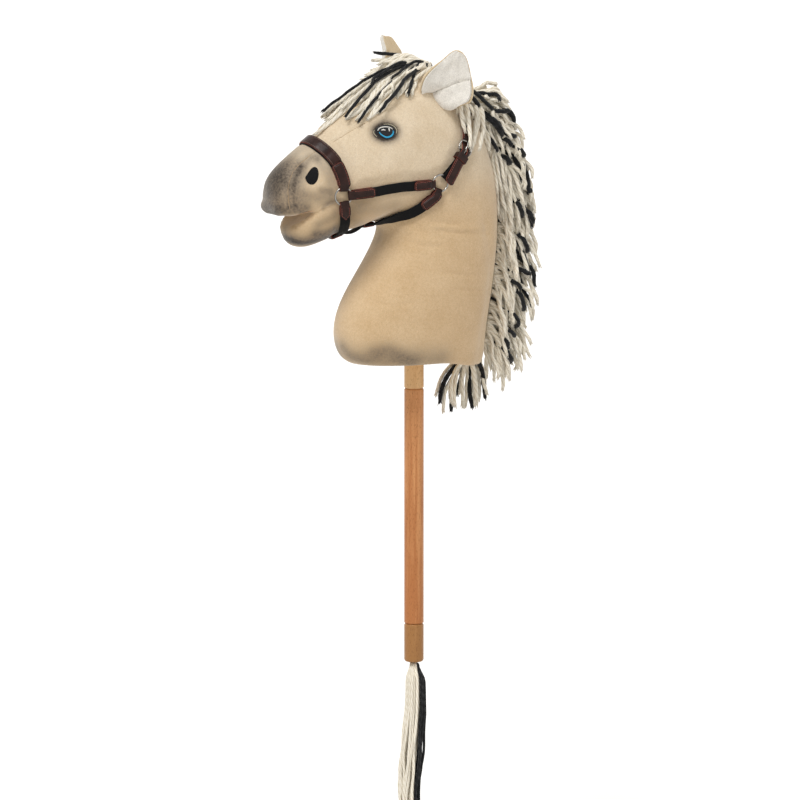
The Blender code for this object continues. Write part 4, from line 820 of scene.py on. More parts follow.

# %% [markdown]
# ## Lines on the skin
# A seam, a crease, a stroke of the airbrush or a stroke of painted shade is a line over the skin. Each one is
# written as the pixels that it passes in the picture, and a ray through each pixel finds its place. The other
# side of the head gets the same lines, mirrored: the distance is measured from the point with |x|.

# %% Seams, creases, airbrush and painted shade
# Each line: its depth, negative for a ridge, and half width in metres, and the pixels that it passes
PRESSED = (
    (0.0013, 0.0016, ((419, 97), (408, 100.5), (395, 106), (380, 114), (357, 128), (343, 136.5), (333, 142))),
    (0.0010, 0.0016, ((317, 151), (303, 161.5), (294.6, 170.5), (291, 177.7), (288.3, 187.6), (288.8, 204),
                      (290, 211))),
    (0.0022, 0.0022, ((309, 212), (320, 206.5), (331, 202), (340, 200))),
    (0.0008, 0.0030, ((432, 221), (446, 223.5), (458, 224))),
    (0.0010, 0.0032, ((438, 231), (462, 233.5), (486, 233))),
    (0.0008, 0.0030, ((408, 242), (424, 246.5), (440, 247))),
    (0.0007, 0.0026, ((440, 272.5), (462, 275), (484, 274.5))),
    (0.0008, 0.0026, ((452, 290), (472, 291), (490, 289))),
    (0.0010, 0.0034, ((398, 213), (412, 221), (424, 233))),
    (0.0008, 0.0030, ((386, 222), (398, 232), (410, 236))),
    (-0.0007, 0.0040, ((432, 226), (458, 228.5), (482, 228))),
    (-0.0006, 0.0040, ((404, 226), (418, 238), (436, 241))),
    (0.0006, 0.0030, ((368, 300), (390, 306), (410, 304))),
    (0.0006, 0.0030, ((460, 318), (476, 322), (486, 318))),
    (0.0021, 0.0120, ((484, 222), (489.5, 250), (489.5, 275), (486.5, 300), (483, 325), (478, 350),
                      (476, 357))),
    (-0.0055, 0.0065, ((266.5, 207), (269, 208.5), (282, 210.5), (292, 212.5))),
)
# Sewn lines that show as a thin thread in their groove
SEWN = (
    ((333, 142), (343, 136.5), (357, 128), (368, 122.5)),
    ((317, 151), (303, 161.5), (294.6, 170.5), (291, 177.7), (288.3, 187.6), (288.8, 204), (290, 211)),
    ((336, 203.5), (329, 206.5), (320, 210), (312, 216), (302, 225), (296, 231)),
)
SEWN_POINTS, SEAM_THREAD = 60, 0.00032
# Airbrush and painted shade strokes: each one's strength and half width in metres, and the pixels that it
# passes
SPRAY_AND_SHADE_STROKES = (
    (0.88, 0.0300, ((266.5, 207), (266.5, 197), (268.5, 186), (275, 174))),
    (0.60, 0.0200, ((274, 206), (273.5, 194), (278, 181), (286, 168))),
    (0.66, 0.0075, ((266.5, 207), (274, 208.5), (284, 209.5), (296, 209), (306, 207))),
    (0.50, 0.0100, ((282, 206), (280, 194), (284, 183))),
    (0.35, 0.0130, ((290, 160), (299, 152), (306, 149))),
    # Painted shade in the muzzle's seam
    (0.45, 0.0036, ((288.5, 186), (288.8, 206))),
    (0.66, 0.0058, ((301, 167), (296, 178), (293.5, 190), (294.5, 205))),
    (0.40, 0.0120, ((300, 174), (297, 188), (300, 202))),
    (0.52, 0.0075, ((303, 166), (310.6, 158.7), (317, 157.7))),
    (0.35, 0.0080, ((318, 161), (326, 172), (329, 182))),
    (0.50, 0.0060, ((321, 190), (330, 191.5))),
    (0.46, 0.0100, ((304, 195), (318, 198), (330, 198))),
    # Painted shade in the crease under the upper lip, up towards the mouth's corner
    (0.55, 0.0030, ((283, 214.4), (292, 214.4), (300, 212), (312.7, 210.6), (325.3, 205), (336, 202))),
    (0.95, 0.0125, ((286, 236), (292, 239.5), (302, 241.2), (314, 239.8), (325, 236.3), (334, 232.3))),
    (0.72, 0.0085, ((315, 233), (324, 232), (333, 228))),
    (0.45, 0.0050, ((283, 231), (286, 237), (294, 240))),
    (0.40, 0.0080, ((318, 224), (326, 220), (333, 216))),
    # These two darken the skin under the cheek and along the jaw
    (0.42, 0.0140, ((356, 209), (355, 221), (349, 230))),
    (0.30, 0.0150, ((366, 206), (378, 208), (394, 205))),
    # Painted shadow along the neck's bottom, beside the stick
    (0.50, 0.0120, ((376, 352), (388, 350), (398, 355), (412, 361))),
    (0.45, 0.0180, ((345, 350), (354, 356), (372, 359), (414, 358.5), (440, 358))),
    (0.30, 0.0080, ((344, 346), (352, 355), (366, 360))),
)
EYE_PIXEL = (385.3, 131.9)
EYE_RADII = (10.6, 7.4)
HALO = (0.995, 0.0072)
LINE_STEP = 0.001


def skin_line(pixels, closed=False):
    """Points every millimetre along a smooth line over the skin through the pixels."""
    spots, _ = seen(pixels)
    rough = curve_through(spots, 24, closed)
    length = np.linalg.norm(np.diff(rough, axis=0), axis=1).sum()
    return on_skin(curve_through(spots, max(6, round(length / LINE_STEP)), closed))[0]


def distance_to(line, points, reach):
    """The distance from each point to a line of points, or infinity beyond reach."""
    mirrored = np.abs(points) * (1, 0, 0) + points * (0, 1, 1)
    near = ((mirrored > line.min(0) - reach) & (mirrored < line.max(0) + reach)).all(1)
    out = np.full(len(points), np.inf)
    out[near] = np.sqrt(((mirrored[near][:, None] - line[None]) ** 2).sum(-1)).min(1)
    return out


turn = np.linspace(0, 2 * math.pi, 24, endpoint=False)
eye_outline = np.array(EYE_PIXEL) + EYE_RADII * np.stack([np.cos(turn), np.sin(turn)], 1)
STROKES = [(strength, width, skin_line(pixels)) for strength, width, pixels in SPRAY_AND_SHADE_STROKES]
STROKES.append((*HALO, skin_line(eye_outline, closed=True)))
PRESSES = [(depth, width, skin_line(pixels)) for depth, width, pixels in PRESSED]
print("lines:", len(PRESSES), "strokes:", len(STROKES))

# %% [markdown]
# ## Finishing the head
# The cloth is subdivided once and laid over the smooth guide: a point's height there is a thin pile plus its
# swell, less near the straps, less again in the seams. The lips are rounded off by averaging neighbours. The
# number for airbrush and painted shade is 1 - product of (1 - stroke).

# %% The head's plush
LIP_LINE = ((265.5, 200), (266.5, 206), (269, 209), (282, 211), (292, 213), (302, 212.5), (314, 210))
LIP_REACH, LIP_ROUNDS, LEAST_WEIGHT = 0.010, 14, 0.01
# The bottom panel starts so far inside the rim, lies so low, and its edge is a curve of so many points
PANEL_INSET, PANEL_TOP, RIM_POINTS = 0.0012, 0.0022, 400
LOWEST, SAG_FADE = 0.0002, (0.001, 0.008)


def rounded_off(points, edges, weight, rounds):
    """Points moved, each by its weight, halfway to the mean of its neighbours, so many times over."""
    edges = edges[(weight[edges] > LEAST_WEIGHT).any(1)]
    count = np.maximum(np.bincount(edges.ravel(), minlength=len(points)), 1)[:, None]
    for _ in range(rounds):
        total = np.zeros_like(points)
        np.add.at(total, edges[:, 0], points[edges[:, 1]])
        np.add.at(total, edges[:, 1], points[edges[:, 0]])
        moved = points + weight[:, None] * (total / count - points) / 2
        points = np.where(weight[:, None] > LEAST_WEIGHT, moved, points)
    return points


def tied_tree():
    """The solids of all that ties the plush down, in one search tree."""
    points, faces = [], []
    for name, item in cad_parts.items():
        if name.startswith(TIED_WORDS):
            first = len(points)
            points += [v.co[:] for v in item.data.vertices]
            faces += [[first + i for i in p.vertices] for p in item.data.polygons]
    return BVHTree.FromPolygons(points, faces)


fine = worked(cloth_mesh, ("SUBSURF", {"levels": 1, "render_levels": 1}))
points = coordinates(fine)
swell = np.empty(len(points), np.float32)
fine.attributes["swell"].data.foreach_get("value", swell)
spots, normals = smooth_guide.nearest(points)
straps = tied_tree()
to_strap = np.array([straps.find_nearest(Vector(p))[3] for p in spots])
free = eased(to_strap, *STRAP_REACH)
height = TIED_HEIGHT + free * (FREE_HEIGHT - TIED_HEIGHT + np.minimum(swell, SWELL_LIMIT))
for depth, width, line in PRESSES:
    height -= depth * np.exp(-(distance_to(line, spots, 4 * width) / width) ** 2)
# Airbrush and painted shade together, one number on each point
spray_and_shade = 1 - np.prod([1 - strength * np.exp(-(distance_to(line, spots, 3 * width) / width) ** 2)
                       for strength, width, line in STROKES], axis=0)
rim_points = SKIN.points[np.abs(SKIN.points[:, 2]) < RIM_HEIGHT]
below = points[:, 2] < PANEL_RIM
outline = rim_points[np.argsort(np.arctan2(rim_points[:, 1], rim_points[:, 0]))]
outline = curve_through(outline, RIM_POINTS, closed=True)
to_rim = np.full(len(points), np.inf)
to_rim[below] = np.sqrt(((points[below][:, None, :2] - outline[None, :, :2]) ** 2).sum(-1)).min(1)
under = below & (to_rim > PANEL_INSET) & (points[:, 2] < PANEL_TOP)
laid = spots + normals * height[:, None]
laid[under] = points[under]
laid[under, 2] = np.maximum(laid[under, 2], PANEL_RECESS * eased(to_rim[under], 0.001, PANEL_RIM))
laid[:, 2] = np.maximum(laid[:, 2], LOWEST)
sagging = eased(laid[:, 1], *SAG_FROM) * (1 - eased(laid[:, 2], 0.0, SAG_HEIGHT))
laid[:, 2] -= REAR_SAG * sagging * np.where(under, 1 - eased(to_rim, *SAG_FADE), 1.0)
edges = np.empty(2 * len(fine.edges), np.int32)
fine.edges.foreach_get("vertices", edges)
lips = np.exp(-(distance_to(skin_line(LIP_LINE), spots, 3 * LIP_REACH) / LIP_REACH) ** 2)
laid = rounded_off(laid, edges.reshape(-1, 2), lips, LIP_ROUNDS)
fine.vertices.foreach_set("co", laid.astype(np.float32).ravel())
number_points(fine, "airbrush_and_shade", spray_and_shade)
fine.attributes.remove(fine.attributes["swell"])
fine.materials.clear()
fine.materials.append(PLUSH)
fine.shade_smooth()
fine.name = "head_plush"
head = placed("head_plush", fine)
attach(head, "head")
put(head, "plush", "head_cover")
dressed("base_panel", "head", BASE_PLUSH, bevel=0.0006)
dressed("mouth_lining", "head", MOUTH_CLOTH, rounding=2, sharp=80.0)
plush_tree = tree_of(fine)
threads = []
for pixels in SEWN:
    path = curve_through(skin_line(pixels), SEWN_POINTS)
    threads.append([plush_tree.find_nearest(Vector(p))[0] for p in path])
threads = np.array(threads)
threads = np.vstack([threads, threads * OTHER_SIDE])
put(tubes("sewn_seams", "head", threads, SEAM_THREAD, 5, SAND_THREAD), "plush")
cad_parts["stuffing"].data.materials.clear()
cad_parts["stuffing"].data.materials.append(WADDING)
print("head faces:", len(fine.polygons))

# %% [markdown]
# ## Eyes and nostrils
# The eye is machine embroidery in rayon thread: a black oval, a blue arc and white highlights on it, and a
# cream line round two of its sides. Each part is a low crowned band of thread over the skin. The nostril is a
# drop-shaped patch of black wool felt. Both are drawn on the left side and mirrored to the right one.

# %% Embroidery and felt patches
PATCH_POINTS, PATCH_THICKNESS, PATCH_LIFT = 48, 0.0012, 0.0006
# The cushion's profile, from the top's middle to the bottom's: shares of the radius and of the thickness
PILLOW = ((0.05, 1.0), (0.35, 0.98), (0.65, 0.9), (0.85, 0.72), (0.96, 0.42), (1.0, 0.15), (0.94, -0.1),
          (0.5, -0.2), (0.05, -0.2))


def pillow(name, slot, node, pixels, finish, flip):
    """A closed low cushion on the skin: C + q (R(a) - C) + n (lift + t h), with (q, h) from the profile."""
    ring = curve_through(np.array(pixels, float), PATCH_POINTS, closed=True)
    middle = ring.mean(0)
    profile = np.array(PILLOW)
    spread = middle + (ring - middle)[:, None] * profile[None, :, :1]
    spots, normals = seen(spread.reshape(-1, 2))
    heights = PATCH_LIFT + PATCH_THICKNESS * np.tile(profile[:, 1], len(ring))
    rows = (spots + normals * heights[:, None]).reshape(*spread.shape[:2], 3)
    count, width = rows.shape[:2]
    poles = np.stack([rows[:, 0].mean(0), rows[:, -1].mean(0)])
    i, j = (a.ravel() for a in np.meshgrid(np.arange(count), np.arange(width - 1), indexing="ij"))
    far = (i + 1) % count
    quads = np.stack([i * width + j, i * width + j + 1, far * width + j + 1, far * width + j], 1)
    first, total = np.arange(count), count * width
    after = (first + 1) % count
    triangles = np.concatenate([np.stack([np.full(count, total), first * width, after * width], 1),
                                np.stack([np.full(count, total + 1), after * width + width - 1,
                                          first * width + width - 1], 1)])
    points = np.vstack([rows.reshape(-1, 3), poles])
    facing = np.cross(points[quads[0, 1]] - points[quads[0, 0]], points[quads[0, 3]] - points[quads[0, 0]])
    if np.dot(facing, normals[0]) < 0:
        quads, triangles = quads[:, ::-1], triangles[:, ::-1]
    across, up = unit(np.cross((0.0, 0.0, 1.0), normals[0])), np.array((0.0, 0.0, 1.0))
    flat = np.stack([(points - poles[0]) @ across, (points - poles[0]) @ up], 1)
    uv = np.vstack([flat[quads.ravel()], flat[triangles.ravel()]])
    item = new_piece(name, "head", points, quads, triangles, (finish,), uv, flip=flip)
    return put(item, slot, node)


BAND_STEPS, BAND_COLUMNS, BAND_HEIGHT, THREAD_WALL = 40, 9, 0.0004, 0.0004


def satin_band(name, pixels, widths, base, finish, flip):
    """Thread over the skin along a line: P + v w / 2 A + n (base + h (1 - v^2)), v from -1 to 1."""
    spots, normals = on_skin(curve_through(seen(pixels)[0], BAND_STEPS))
    across = np.cross(normals, unit(np.gradient(spots, axis=0)))
    v = np.linspace(-1, 1, BAND_COLUMNS)[None, :, None]
    step = np.arange(BAND_STEPS)
    half = np.interp(step / step[-1], np.linspace(0, 1, len(widths)), widths)[:, None, None] / 2
    ends = np.minimum(1.0, np.minimum(step, step[::-1]) / 3 + 0.35)[:, None, None]
    raised = normals[:, None] * (base + BAND_HEIGHT * (1 - v * v) * ends)
    rows = spots[:, None] + across[:, None] * v * half * ends + raised
    item = shell(name, "head", rows, THREAD_WALL, (finish,), flip=flip, lengths=way_along(spots), bevel=0.0)
    return put(item, "eye_embroidery")


EYE_SHAPE = ((375.0, 131.2), (377.2, 127.6), (381.5, 125.6), (386.2, 125.0), (391.0, 126.2), (394.6, 129.2),
             (395.4, 132.2), (393.8, 136.0), (390.2, 138.6), (385.6, 139.2), (380.6, 137.6), (376.6, 134.8))
# Each band: its thread, its widths from end to end, the height that it starts from, and its pixels
EYE_BANDS = (
    ("blue_arc", BLUE_SATIN, (0.0014, 0.0021, 0.0024, 0.0023, 0.0014), 0.0013,
     ((378.6, 132.0), (381.8, 135.2), (386.4, 137.3), (390.6, 136.2), (392.9, 133.2), (392.6, 130.6))),
    ("white_lid", WHITE_SATIN, (0.0010, 0.0014, 0.0016, 0.0014, 0.0008), 0.0013,
     ((377.4, 131.0), (379.2, 128.5), (382.6, 127.3), (387.0, 127.1), (390.4, 128.0), (392.4, 129.4))),
    ("glint_front", WHITE_SATIN, (0.0012, 0.0023, 0.0012), 0.0014,
     ((381.2, 130.4), (383.0, 129.9), (385.2, 130.4))),
    ("glint_rear", WHITE_SATIN, (0.0026, 0.0012), 0.0014, ((388.7, 128.6), (389.2, 131.6))),
    ("rear_line", CREAM_SATIN, (0.0006, 0.0009, 0.0010, 0.0007), 0.0006,
     ((383.5, 124.4), (388.4, 124.3), (393.4, 126.2), (396.4, 130.0), (396.0, 133.8))),
    ("front_line", CREAM_SATIN, (0.0006, 0.0009, 0.0006), 0.0006,
     ((374.2, 130.0), (373.8, 133.2), (376.8, 137.0))),
)
NOSTRIL_SHAPE = ((314.6, 167.0), (317.4, 168.6), (318.4, 172.5), (318.1, 177.5), (316.2, 182.0),
                 (313.0, 184.8), (309.6, 184.5), (306.6, 181.8), (305.2, 177.6), (307.0, 174.6),
                 (309.2, 171.2), (311.8, 168.2))
for side, flip in (("left", False), ("right", True)):
    pillow(f"eye_ground_{side}", "eye_embroidery", f"eye_{side}", EYE_SHAPE, BLACK_SATIN, flip)
    for label, finish, widths, base, pixels in EYE_BANDS:
        satin_band(f"eye_{label}_{side}", pixels, widths, base, finish, flip)
    pillow(f"nostril_felt_{side}", "black_felt", f"nostril_{side}", NOSTRIL_SHAPE, FELT, flip)
print("eye bands:", len(EYE_BANDS))

# %% [markdown]
# ## Ears
# Each ear is two cloths sewn back to back: plush behind, white fleece in front, turned and seamed round the
# rim, then cupped at the root and sewn down along a line that is picked in the picture. The sheet's shape is
# a function of two numbers, u from the root to the tip and v across. The far ear is rolled and turned a
# little. On the near ear the fleece has buckled: a fold runs across it, with the lower flap standing a little
# proud.

# %% Ears
EAR_CORNERS = ((0.032, -0.011, 0.382), (0.053, 0.026, 0.366))
EAR_TIP = (0.072, 0.036, 0.447)
RIGHT_EAR_SHIFTS = ((-0.005, -0.009, 0.008), (0.001, -0.003, 0.0), (0.0, -0.043, 0.010))
EAR_LEAN, EAR_CUP, EAR_CUP_BEGINS = 0.009, 0.013, 0.25
EAR_BELLY_BEND, EAR_SEWN_SHARE, EAR_BASE_SHARE = 0.85, 0.33, 0.35
# The near ear and the far one: width, half width of the tip, roundness and twist
EAR_CUTS = ((0.063, 0.003, 0.55, 0.0), (0.058, 0.005, 0.78, math.radians(12.0)))
EAR_ROLL_FROM, EAR_ROLL = 0.80, (0.9, 0.95)
ROOT_PIXELS = ((420.5, 92), (428, 90.4), (434.6, 88.0), (436.4, 93), (439.6, 99), (443.6, 104), (448, 104.5))
FOLD_PIXELS = ((434.8, 96.0), (468.5, 84.3))
# How far the flap laps over the fold and from where, how high it stands and how deep the crease is
FOLD_LAP, LAP_FROM, FLAP_HEIGHT, CREASE_DEPTH = 0.0036, 0.011, 0.0030, 0.0018
EAR_LIFT, EAR_BACK_WALL, EAR_FLEECE_WALL, EAR_GAP, EAR_FLEECE_SHARE = 0.0017, 0.0032, 0.0026, 0.0004, 0.955
QUILT_HEIGHT, FOLD_WAVE = 0.0008, 0.0010
EAR_ROWS, EAR_COLUMNS = 84, 61


def ear_surface(shifts, rolled):
    """The ear's middle sheet: M + H u A + (h(u) v + lean a(u)) B + cup(u) v^2 F, seated where u < 0.33.

    The half width h has the arch a = sin(pi u^0.85), raised to a lower power near the tip, which rounds it.
    B and F are turned about A by the ear's twist, and the far ear's inner edge rolls in where v < -0.8."""
    inner, outer, tip = np.array((*EAR_CORNERS, EAR_TIP)) + shifts
    middle, span = (inner + outer) / 2, outer - inner
    along = unit(tip - middle)
    across = unit(span - along * np.dot(span, along))
    facing = np.cross(across, along)
    width, tip_half, roundness, twist = EAR_CUTS[rolled]
    across, facing = (across * math.cos(twist) - facing * math.sin(twist),
                      facing * math.cos(twist) + across * math.sin(twist))
    u = np.linspace(0, 1, EAR_ROWS)[:, None, None]
    v = np.linspace(-1, 1, EAR_COLUMNS)[None, :, None]
    arch = np.sin(math.pi * u ** EAR_BELLY_BEND)
    root = np.linalg.norm(span) / 2
    full = np.maximum(arch, 0) ** (1 - roundness * eased(u, 0.6, 1.0))
    half = np.maximum(root * (1 - u) + (width / 2 - EAR_BASE_SHARE * root) * full, tip_half)
    cup = EAR_CUP * np.sin(math.pi * np.minimum(u + EAR_CUP_BEGINS, 1.0))
    seats, away = on_skin(curve_through(seen(ROOT_PIXELS)[0], EAR_COLUMNS) + shifts[:2].mean(0))
    seated = np.maximum(0.0, 1 - u / EAR_SEWN_SHARE)
    free = (middle + along * np.linalg.norm(tip - middle) * u + across * (half * v + EAR_LEAN * arch)
            + facing * cup * v * v)
    if rolled:
        turned = half * np.maximum(0, -v - EAR_ROLL_FROM) * eased(u, 0.05, 0.2)
        free = free + across * turned * EAR_ROLL[0] - facing * turned * EAR_ROLL[1]
    return (seats + away * EAR_LIFT)[None] * seated + free * (1 - seated)


# The fold lies in the plane through two pixels and the camera's direction
fold_ends = np.array([at_pixel(*p) for p in FOLD_PIXELS])
fold_normal = unit(np.cross(BACK, fold_ends[1] - fold_ends[0]))
for side, shifts, flip in (("left", np.zeros((3, 3)), False), ("right", np.array(RIGHT_EAR_SHIFTS), True)):
    sheet = ear_surface(shifts, side == "right")
    normals = unit(np.cross(np.gradient(sheet, axis=1), np.gradient(sheet, axis=0)))
    u = np.linspace(0, 1, EAR_ROWS)[:, None]
    v = np.linspace(-1, 1, EAR_COLUMNS)[None]
    inside = sheet + normals * ((EAR_BACK_WALL + EAR_FLEECE_WALL) / 2 + EAR_GAP)
    centre = inside.mean(1, keepdims=True)
    inside = centre + (inside - centre) * EAR_FLEECE_SHARE
    rise = QUILT_HEIGHT * np.sin(9 * u + 3 * v) * np.sin(7 * v - 4 * u)
    if side == "left":
        fold = (inside - fold_ends[0]) @ fold_normal - FOLD_WAVE * np.sin(5 * v)
        inside = inside + fold_normal * (FOLD_LAP * eased(fold, -LAP_FROM, 0.0) * (fold < 0))[..., None]
        crease = CREASE_DEPTH * np.exp(-((fold - 0.001) / 0.004) ** 2)
        rise = rise + FLAP_HEIGHT * eased(-fold, -0.0005, 0.0015) - crease
    back = shell(f"ear_back_{side}", "head", sheet[:, ::-1], EAR_BACK_WALL, (EAR_BACK,), flip=flip,
                 bevel=0.0012)
    put(back, "plush", f"ear_{side}")
    fleece = shell(f"ear_fleece_{side}", "head", inside[2:-1, ::-1], EAR_FLEECE_WALL, (FLEECE,),
                   rise=rise[2:-1, ::-1], flip=flip, bevel=0.0010)
    put(fleece, "ear_fleece", f"ear_lining_{side}")
print("ear width in mm:", round(np.linalg.norm(sheet[EAR_ROWS // 2, 0] - sheet[EAR_ROWS // 2, -1]) * 1000))

# %% [markdown]
# ## The halter's routes
# The halter is webbing and leather on four rings. A strap is a route over the skin between two rings, and
# `at(s, v, h)` gives its points for whole arrays: s along it, v across it and h above its middle layer.

# %% Rings
GAP, FOLD_GAP, LIFT = 0.0003, 0.0006, 0.0006
WEBBING_THICKNESS, LEATHER_THICKNESS, RING_WIRE = 0.0026, 0.0015, 0.0028
FOLD = RING_WIRE / 2 + FOLD_GAP + LEATHER_THICKNESS / 2
STRAP_HEIGHT = LIFT + LEATHER_THICKNESS / 2 + FOLD
REST_HEIGHT = LIFT + WEBBING_THICKNESS / 2
RING_STEPS = 72


class Ring:
    """A round ring lying on the skin at the place nearest to a point; neck is a tab's width at its wire."""

    def __init__(self, place_near, radius, neck):
        spots, normals = on_skin([place_near])
        self.foot, self.normal = spots[0], normals[0]
        self.radius, self.neck = radius, neck
        across = unit(np.cross(self.normal, (0.0, 0.0, 1.0)))
        a = np.linspace(0, 2 * math.pi, RING_STEPS, endpoint=False)[:, None]
        self.circle = across * np.cos(a) + np.cross(across, self.normal) * np.sin(a)
        edge = on_skin(self.foot + self.circle * (radius + RING_WIRE))[0]
        bulge = max(0.0, ((edge - self.foot) @ self.normal).max())
        self.centre = self.foot + self.normal * (STRAP_HEIGHT + bulge)


def mirror(point):
    return (-point[0], point[1], point[2])


RING_PLACES = {"front": ((0.046, -0.139, 0.248), 0.0122, 0.0130),
               "rear": ((0.066, 0.007, 0.260), 0.012, 0.0104)}
front, rear = (Ring(*RING_PLACES[k]) for k in ("front", "rear"))
front_right, rear_right = (Ring(mirror(RING_PLACES[k][0]), *RING_PLACES[k][1:]) for k in ("front", "rear"))
for side, flip in (("left", False), ("right", True)):
    for node, ring in (("noseband_ring", front), ("cheek_ring", rear)):
        wire = tubes(f"steel_{node}_{side}", "head", (ring.centre + ring.circle * ring.radius)[None],
                     RING_WIRE / 2, 14, STEEL, closed=True, flip=flip)
        put(wire, "steel", f"{node}_{side}")
print("ring diameters in mm:", [round(2000 * r.radius, 1) for r in (front, rear)])

# %% [markdown]
# ## Routes between the rings
# Near a ring the route leaves the skin and bends into the ring's plane, so that leather can fold round the
# wire. Elsewhere it follows the skin, lifted over whatever bulges under the strap's width. Every band, tab
# and buckle part after this is written in s, v and h alone.

# %% Routes
BLEND = 0.016
SAMPLE = 0.002
SETTLING_ROUNDS, NORMAL_REACH, LIFT_REACH = 6, 4, 3
TAB_END_CLEAR, TAB_SLOPE = 0.004, 0.012


def averaged(values, reach):
    """Each row's mean with its neighbours up to reach rows away."""
    padded = np.pad(values, ((reach, reach), (0, 0)), mode="edge")
    return np.mean([padded[k:k + len(values)] for k in range(2 * reach + 1)], 0)


class Strap:
    """A route over the skin: its feet, its normals, how far bulges lift it, and the heights that it keeps."""

    def __init__(self, seeds, width, start, end, tabs=None):
        self.start, self.end = start, end
        rough = way_along(np.array(seeds))[-1]
        feet = on_skin(curve_through(seeds, round(rough / SAMPLE / 2)))[0]
        for _ in range(SETTLING_ROUNDS):
            feet[1:-1] = on_skin((feet[:-2] + 2 * feet[1:-1] + feet[2:]) / 4)[0]
        way = way_along(feet)
        self.length = way[-1]
        self.s = np.linspace(0, self.length, round(self.length / SAMPLE))
        feet = np.stack([np.interp(self.s, way, feet[:, k]) for k in range(3)], 1)
        self.tangents = unit(np.gradient(feet, axis=0))
        normals = averaged(on_skin(feet)[1], NORMAL_REACH)
        self.normals = unit(normals - self.tangents * (normals * self.tangents).sum(1, keepdims=True))
        across = np.cross(self.normals, self.tangents)
        sides = feet[:, None] + across[:, None] * np.array((-1, -0.5, 0.5, 1))[:, None] * width / 2
        need = ((on_skin(sides)[0] - feet[:, None]) * self.normals[:, None]).sum(-1).max(1)
        padded = np.pad(np.maximum(need, 0), LIFT_REACH, mode="edge")
        highest = np.max([padded[k:k + len(need)] for k in range(2 * LIFT_REACH + 1)], 0)
        self.lifts = averaged(highest[:, None], LIFT_REACH)[:, 0]
        self.feet = averaged(feet, 1)
        self.heights = [(0.0, STRAP_HEIGHT)]
        if tabs:
            first, last = tabs[0] + TAB_END_CLEAR, self.length - tabs[1] - TAB_END_CLEAR
            self.heights = [(first, STRAP_HEIGHT), (first + TAB_SLOPE, REST_HEIGHT),
                            (last - TAB_SLOPE, REST_HEIGHT), (last, STRAP_HEIGHT)]

    def table(self, values, s):
        return np.stack([np.interp(s, self.s, values[:, k]) for k in range(3)], -1)

    def at(self, s, v, h):
        """F(s) + v (N x T) + (height + h) N, blended near each ring to C + d A + v (N' x A) + h N'."""
        s, v, h = (a[..., None] for a in np.broadcast_arrays(*(np.asarray(a, float) for a in (s, v, h))))
        foot, normal, tangent = (self.table(k, s[..., 0]) for k in (self.feet, self.normals, self.tangents))
        normal, tangent = unit(normal), unit(tangent)
        foot = foot + tangent * (np.minimum(s, 0) + np.maximum(s - self.length, 0))
        rise = np.interp(s, self.s, self.lifts) + np.interp(s, *zip(*self.heights))
        point = foot + np.cross(normal, tangent) * v + normal * (rise + h)
        for ring, distance, sign, index in ((self.start, s, 1, 0), (self.end, self.length - s, -1, -1)):
            share = eased(ring.radius + BLEND - distance, 0, BLEND - RING_WIRE)
            away = self.tangents[index] * sign
            away = unit(away - ring.normal * np.dot(away, ring.normal))
            side = np.cross(ring.normal, away) * sign
            point = point * (1 - share) + (ring.centre + away * distance + side * v + ring.normal * h) * share
        return point


WEBBING_WIDTH, NOSEBAND_WIDTH, NOSEBAND_LEATHER_WIDTH, CHEEK_WIDTH = 0.015, 0.018, 0.0164, 0.014
CHEEK_FRONT_TAB, CHEEK_REAR_TAB, NOSEBAND_TAB = 0.047, 0.041, 0.048
CHIN_TAB, THROAT_TAB, CROWN_TAB = 0.034, 0.043, 0.036
NOSEBAND_SIDES = ((0.046, -0.139, 0.2705), (0.042, -0.1445, 0.288), (0.034, -0.1525, 0.304),
                  (0.0165, -0.163, 0.3155))
NOSEBAND_TOP = (0.0, -0.167, 0.3185)
CHEEK_MIDDLE = (0.062, -0.063, 0.2560)
CHIN_SIDE, CHIN_UNDER = (0.028, -0.131, 0.204), (0.0, -0.128, 0.189)
THROAT_SIDES = ((0.066, 0.000, 0.2420), (0.063, -0.013, 0.2310), (0.056, -0.031, 0.2185),
                (0.041, -0.057, 0.2055))
THROAT_UNDER = (0.0, -0.077, 0.199)
cheek = Strap([front.foot, CHEEK_MIDDLE, rear.foot], CHEEK_WIDTH, front, rear,
              (CHEEK_FRONT_TAB, CHEEK_REAR_TAB))
cheek_back = Strap([rear.foot, CHEEK_MIDDLE, front.foot], CHEEK_WIDTH, rear, front,
                   (CHEEK_REAR_TAB, CHEEK_FRONT_TAB))
nose = Strap([front.foot, *NOSEBAND_SIDES, NOSEBAND_TOP, *map(mirror, NOSEBAND_SIDES[::-1]),
              front_right.foot], NOSEBAND_WIDTH, front, front_right, (NOSEBAND_TAB, NOSEBAND_TAB))
chin = Strap([front.foot, CHIN_SIDE, CHIN_UNDER, mirror(CHIN_SIDE), front_right.foot], WEBBING_WIDTH, front,
             front_right)
throat = Strap([rear.foot, *THROAT_SIDES, THROAT_UNDER, *map(mirror, THROAT_SIDES[::-1]), rear_right.foot],
               WEBBING_WIDTH, rear, rear_right)
print("noseband length in mm:", round(nose.length * 1000))

# %% [markdown]
# ## Webbing and the noseband's leather
# A band is a sheet along its route with a slightly crowned face. The noseband carries a strip of leather over
# its webbing, a millimetre nearer the muzzle, with a groove pressed in along each row of stitches.

# %% Webbing bands
ROW = 0.0015
BAND_COLUMNS_OVER = 11
WEBBING_START = 0.003
WEBBING_CROWN, LEATHER_CROWN = 0.0003, 0.0003
ABOVE_WEBBING = WEBBING_THICKNESS / 2 + GAP + LEATHER_THICKNESS / 2
STITCH_INSET, GROOVE_DEPTH, GROOVE_HALF = 0.0019, 0.00035, 0.0006
NOSEBAND_SHIFT = -0.0010


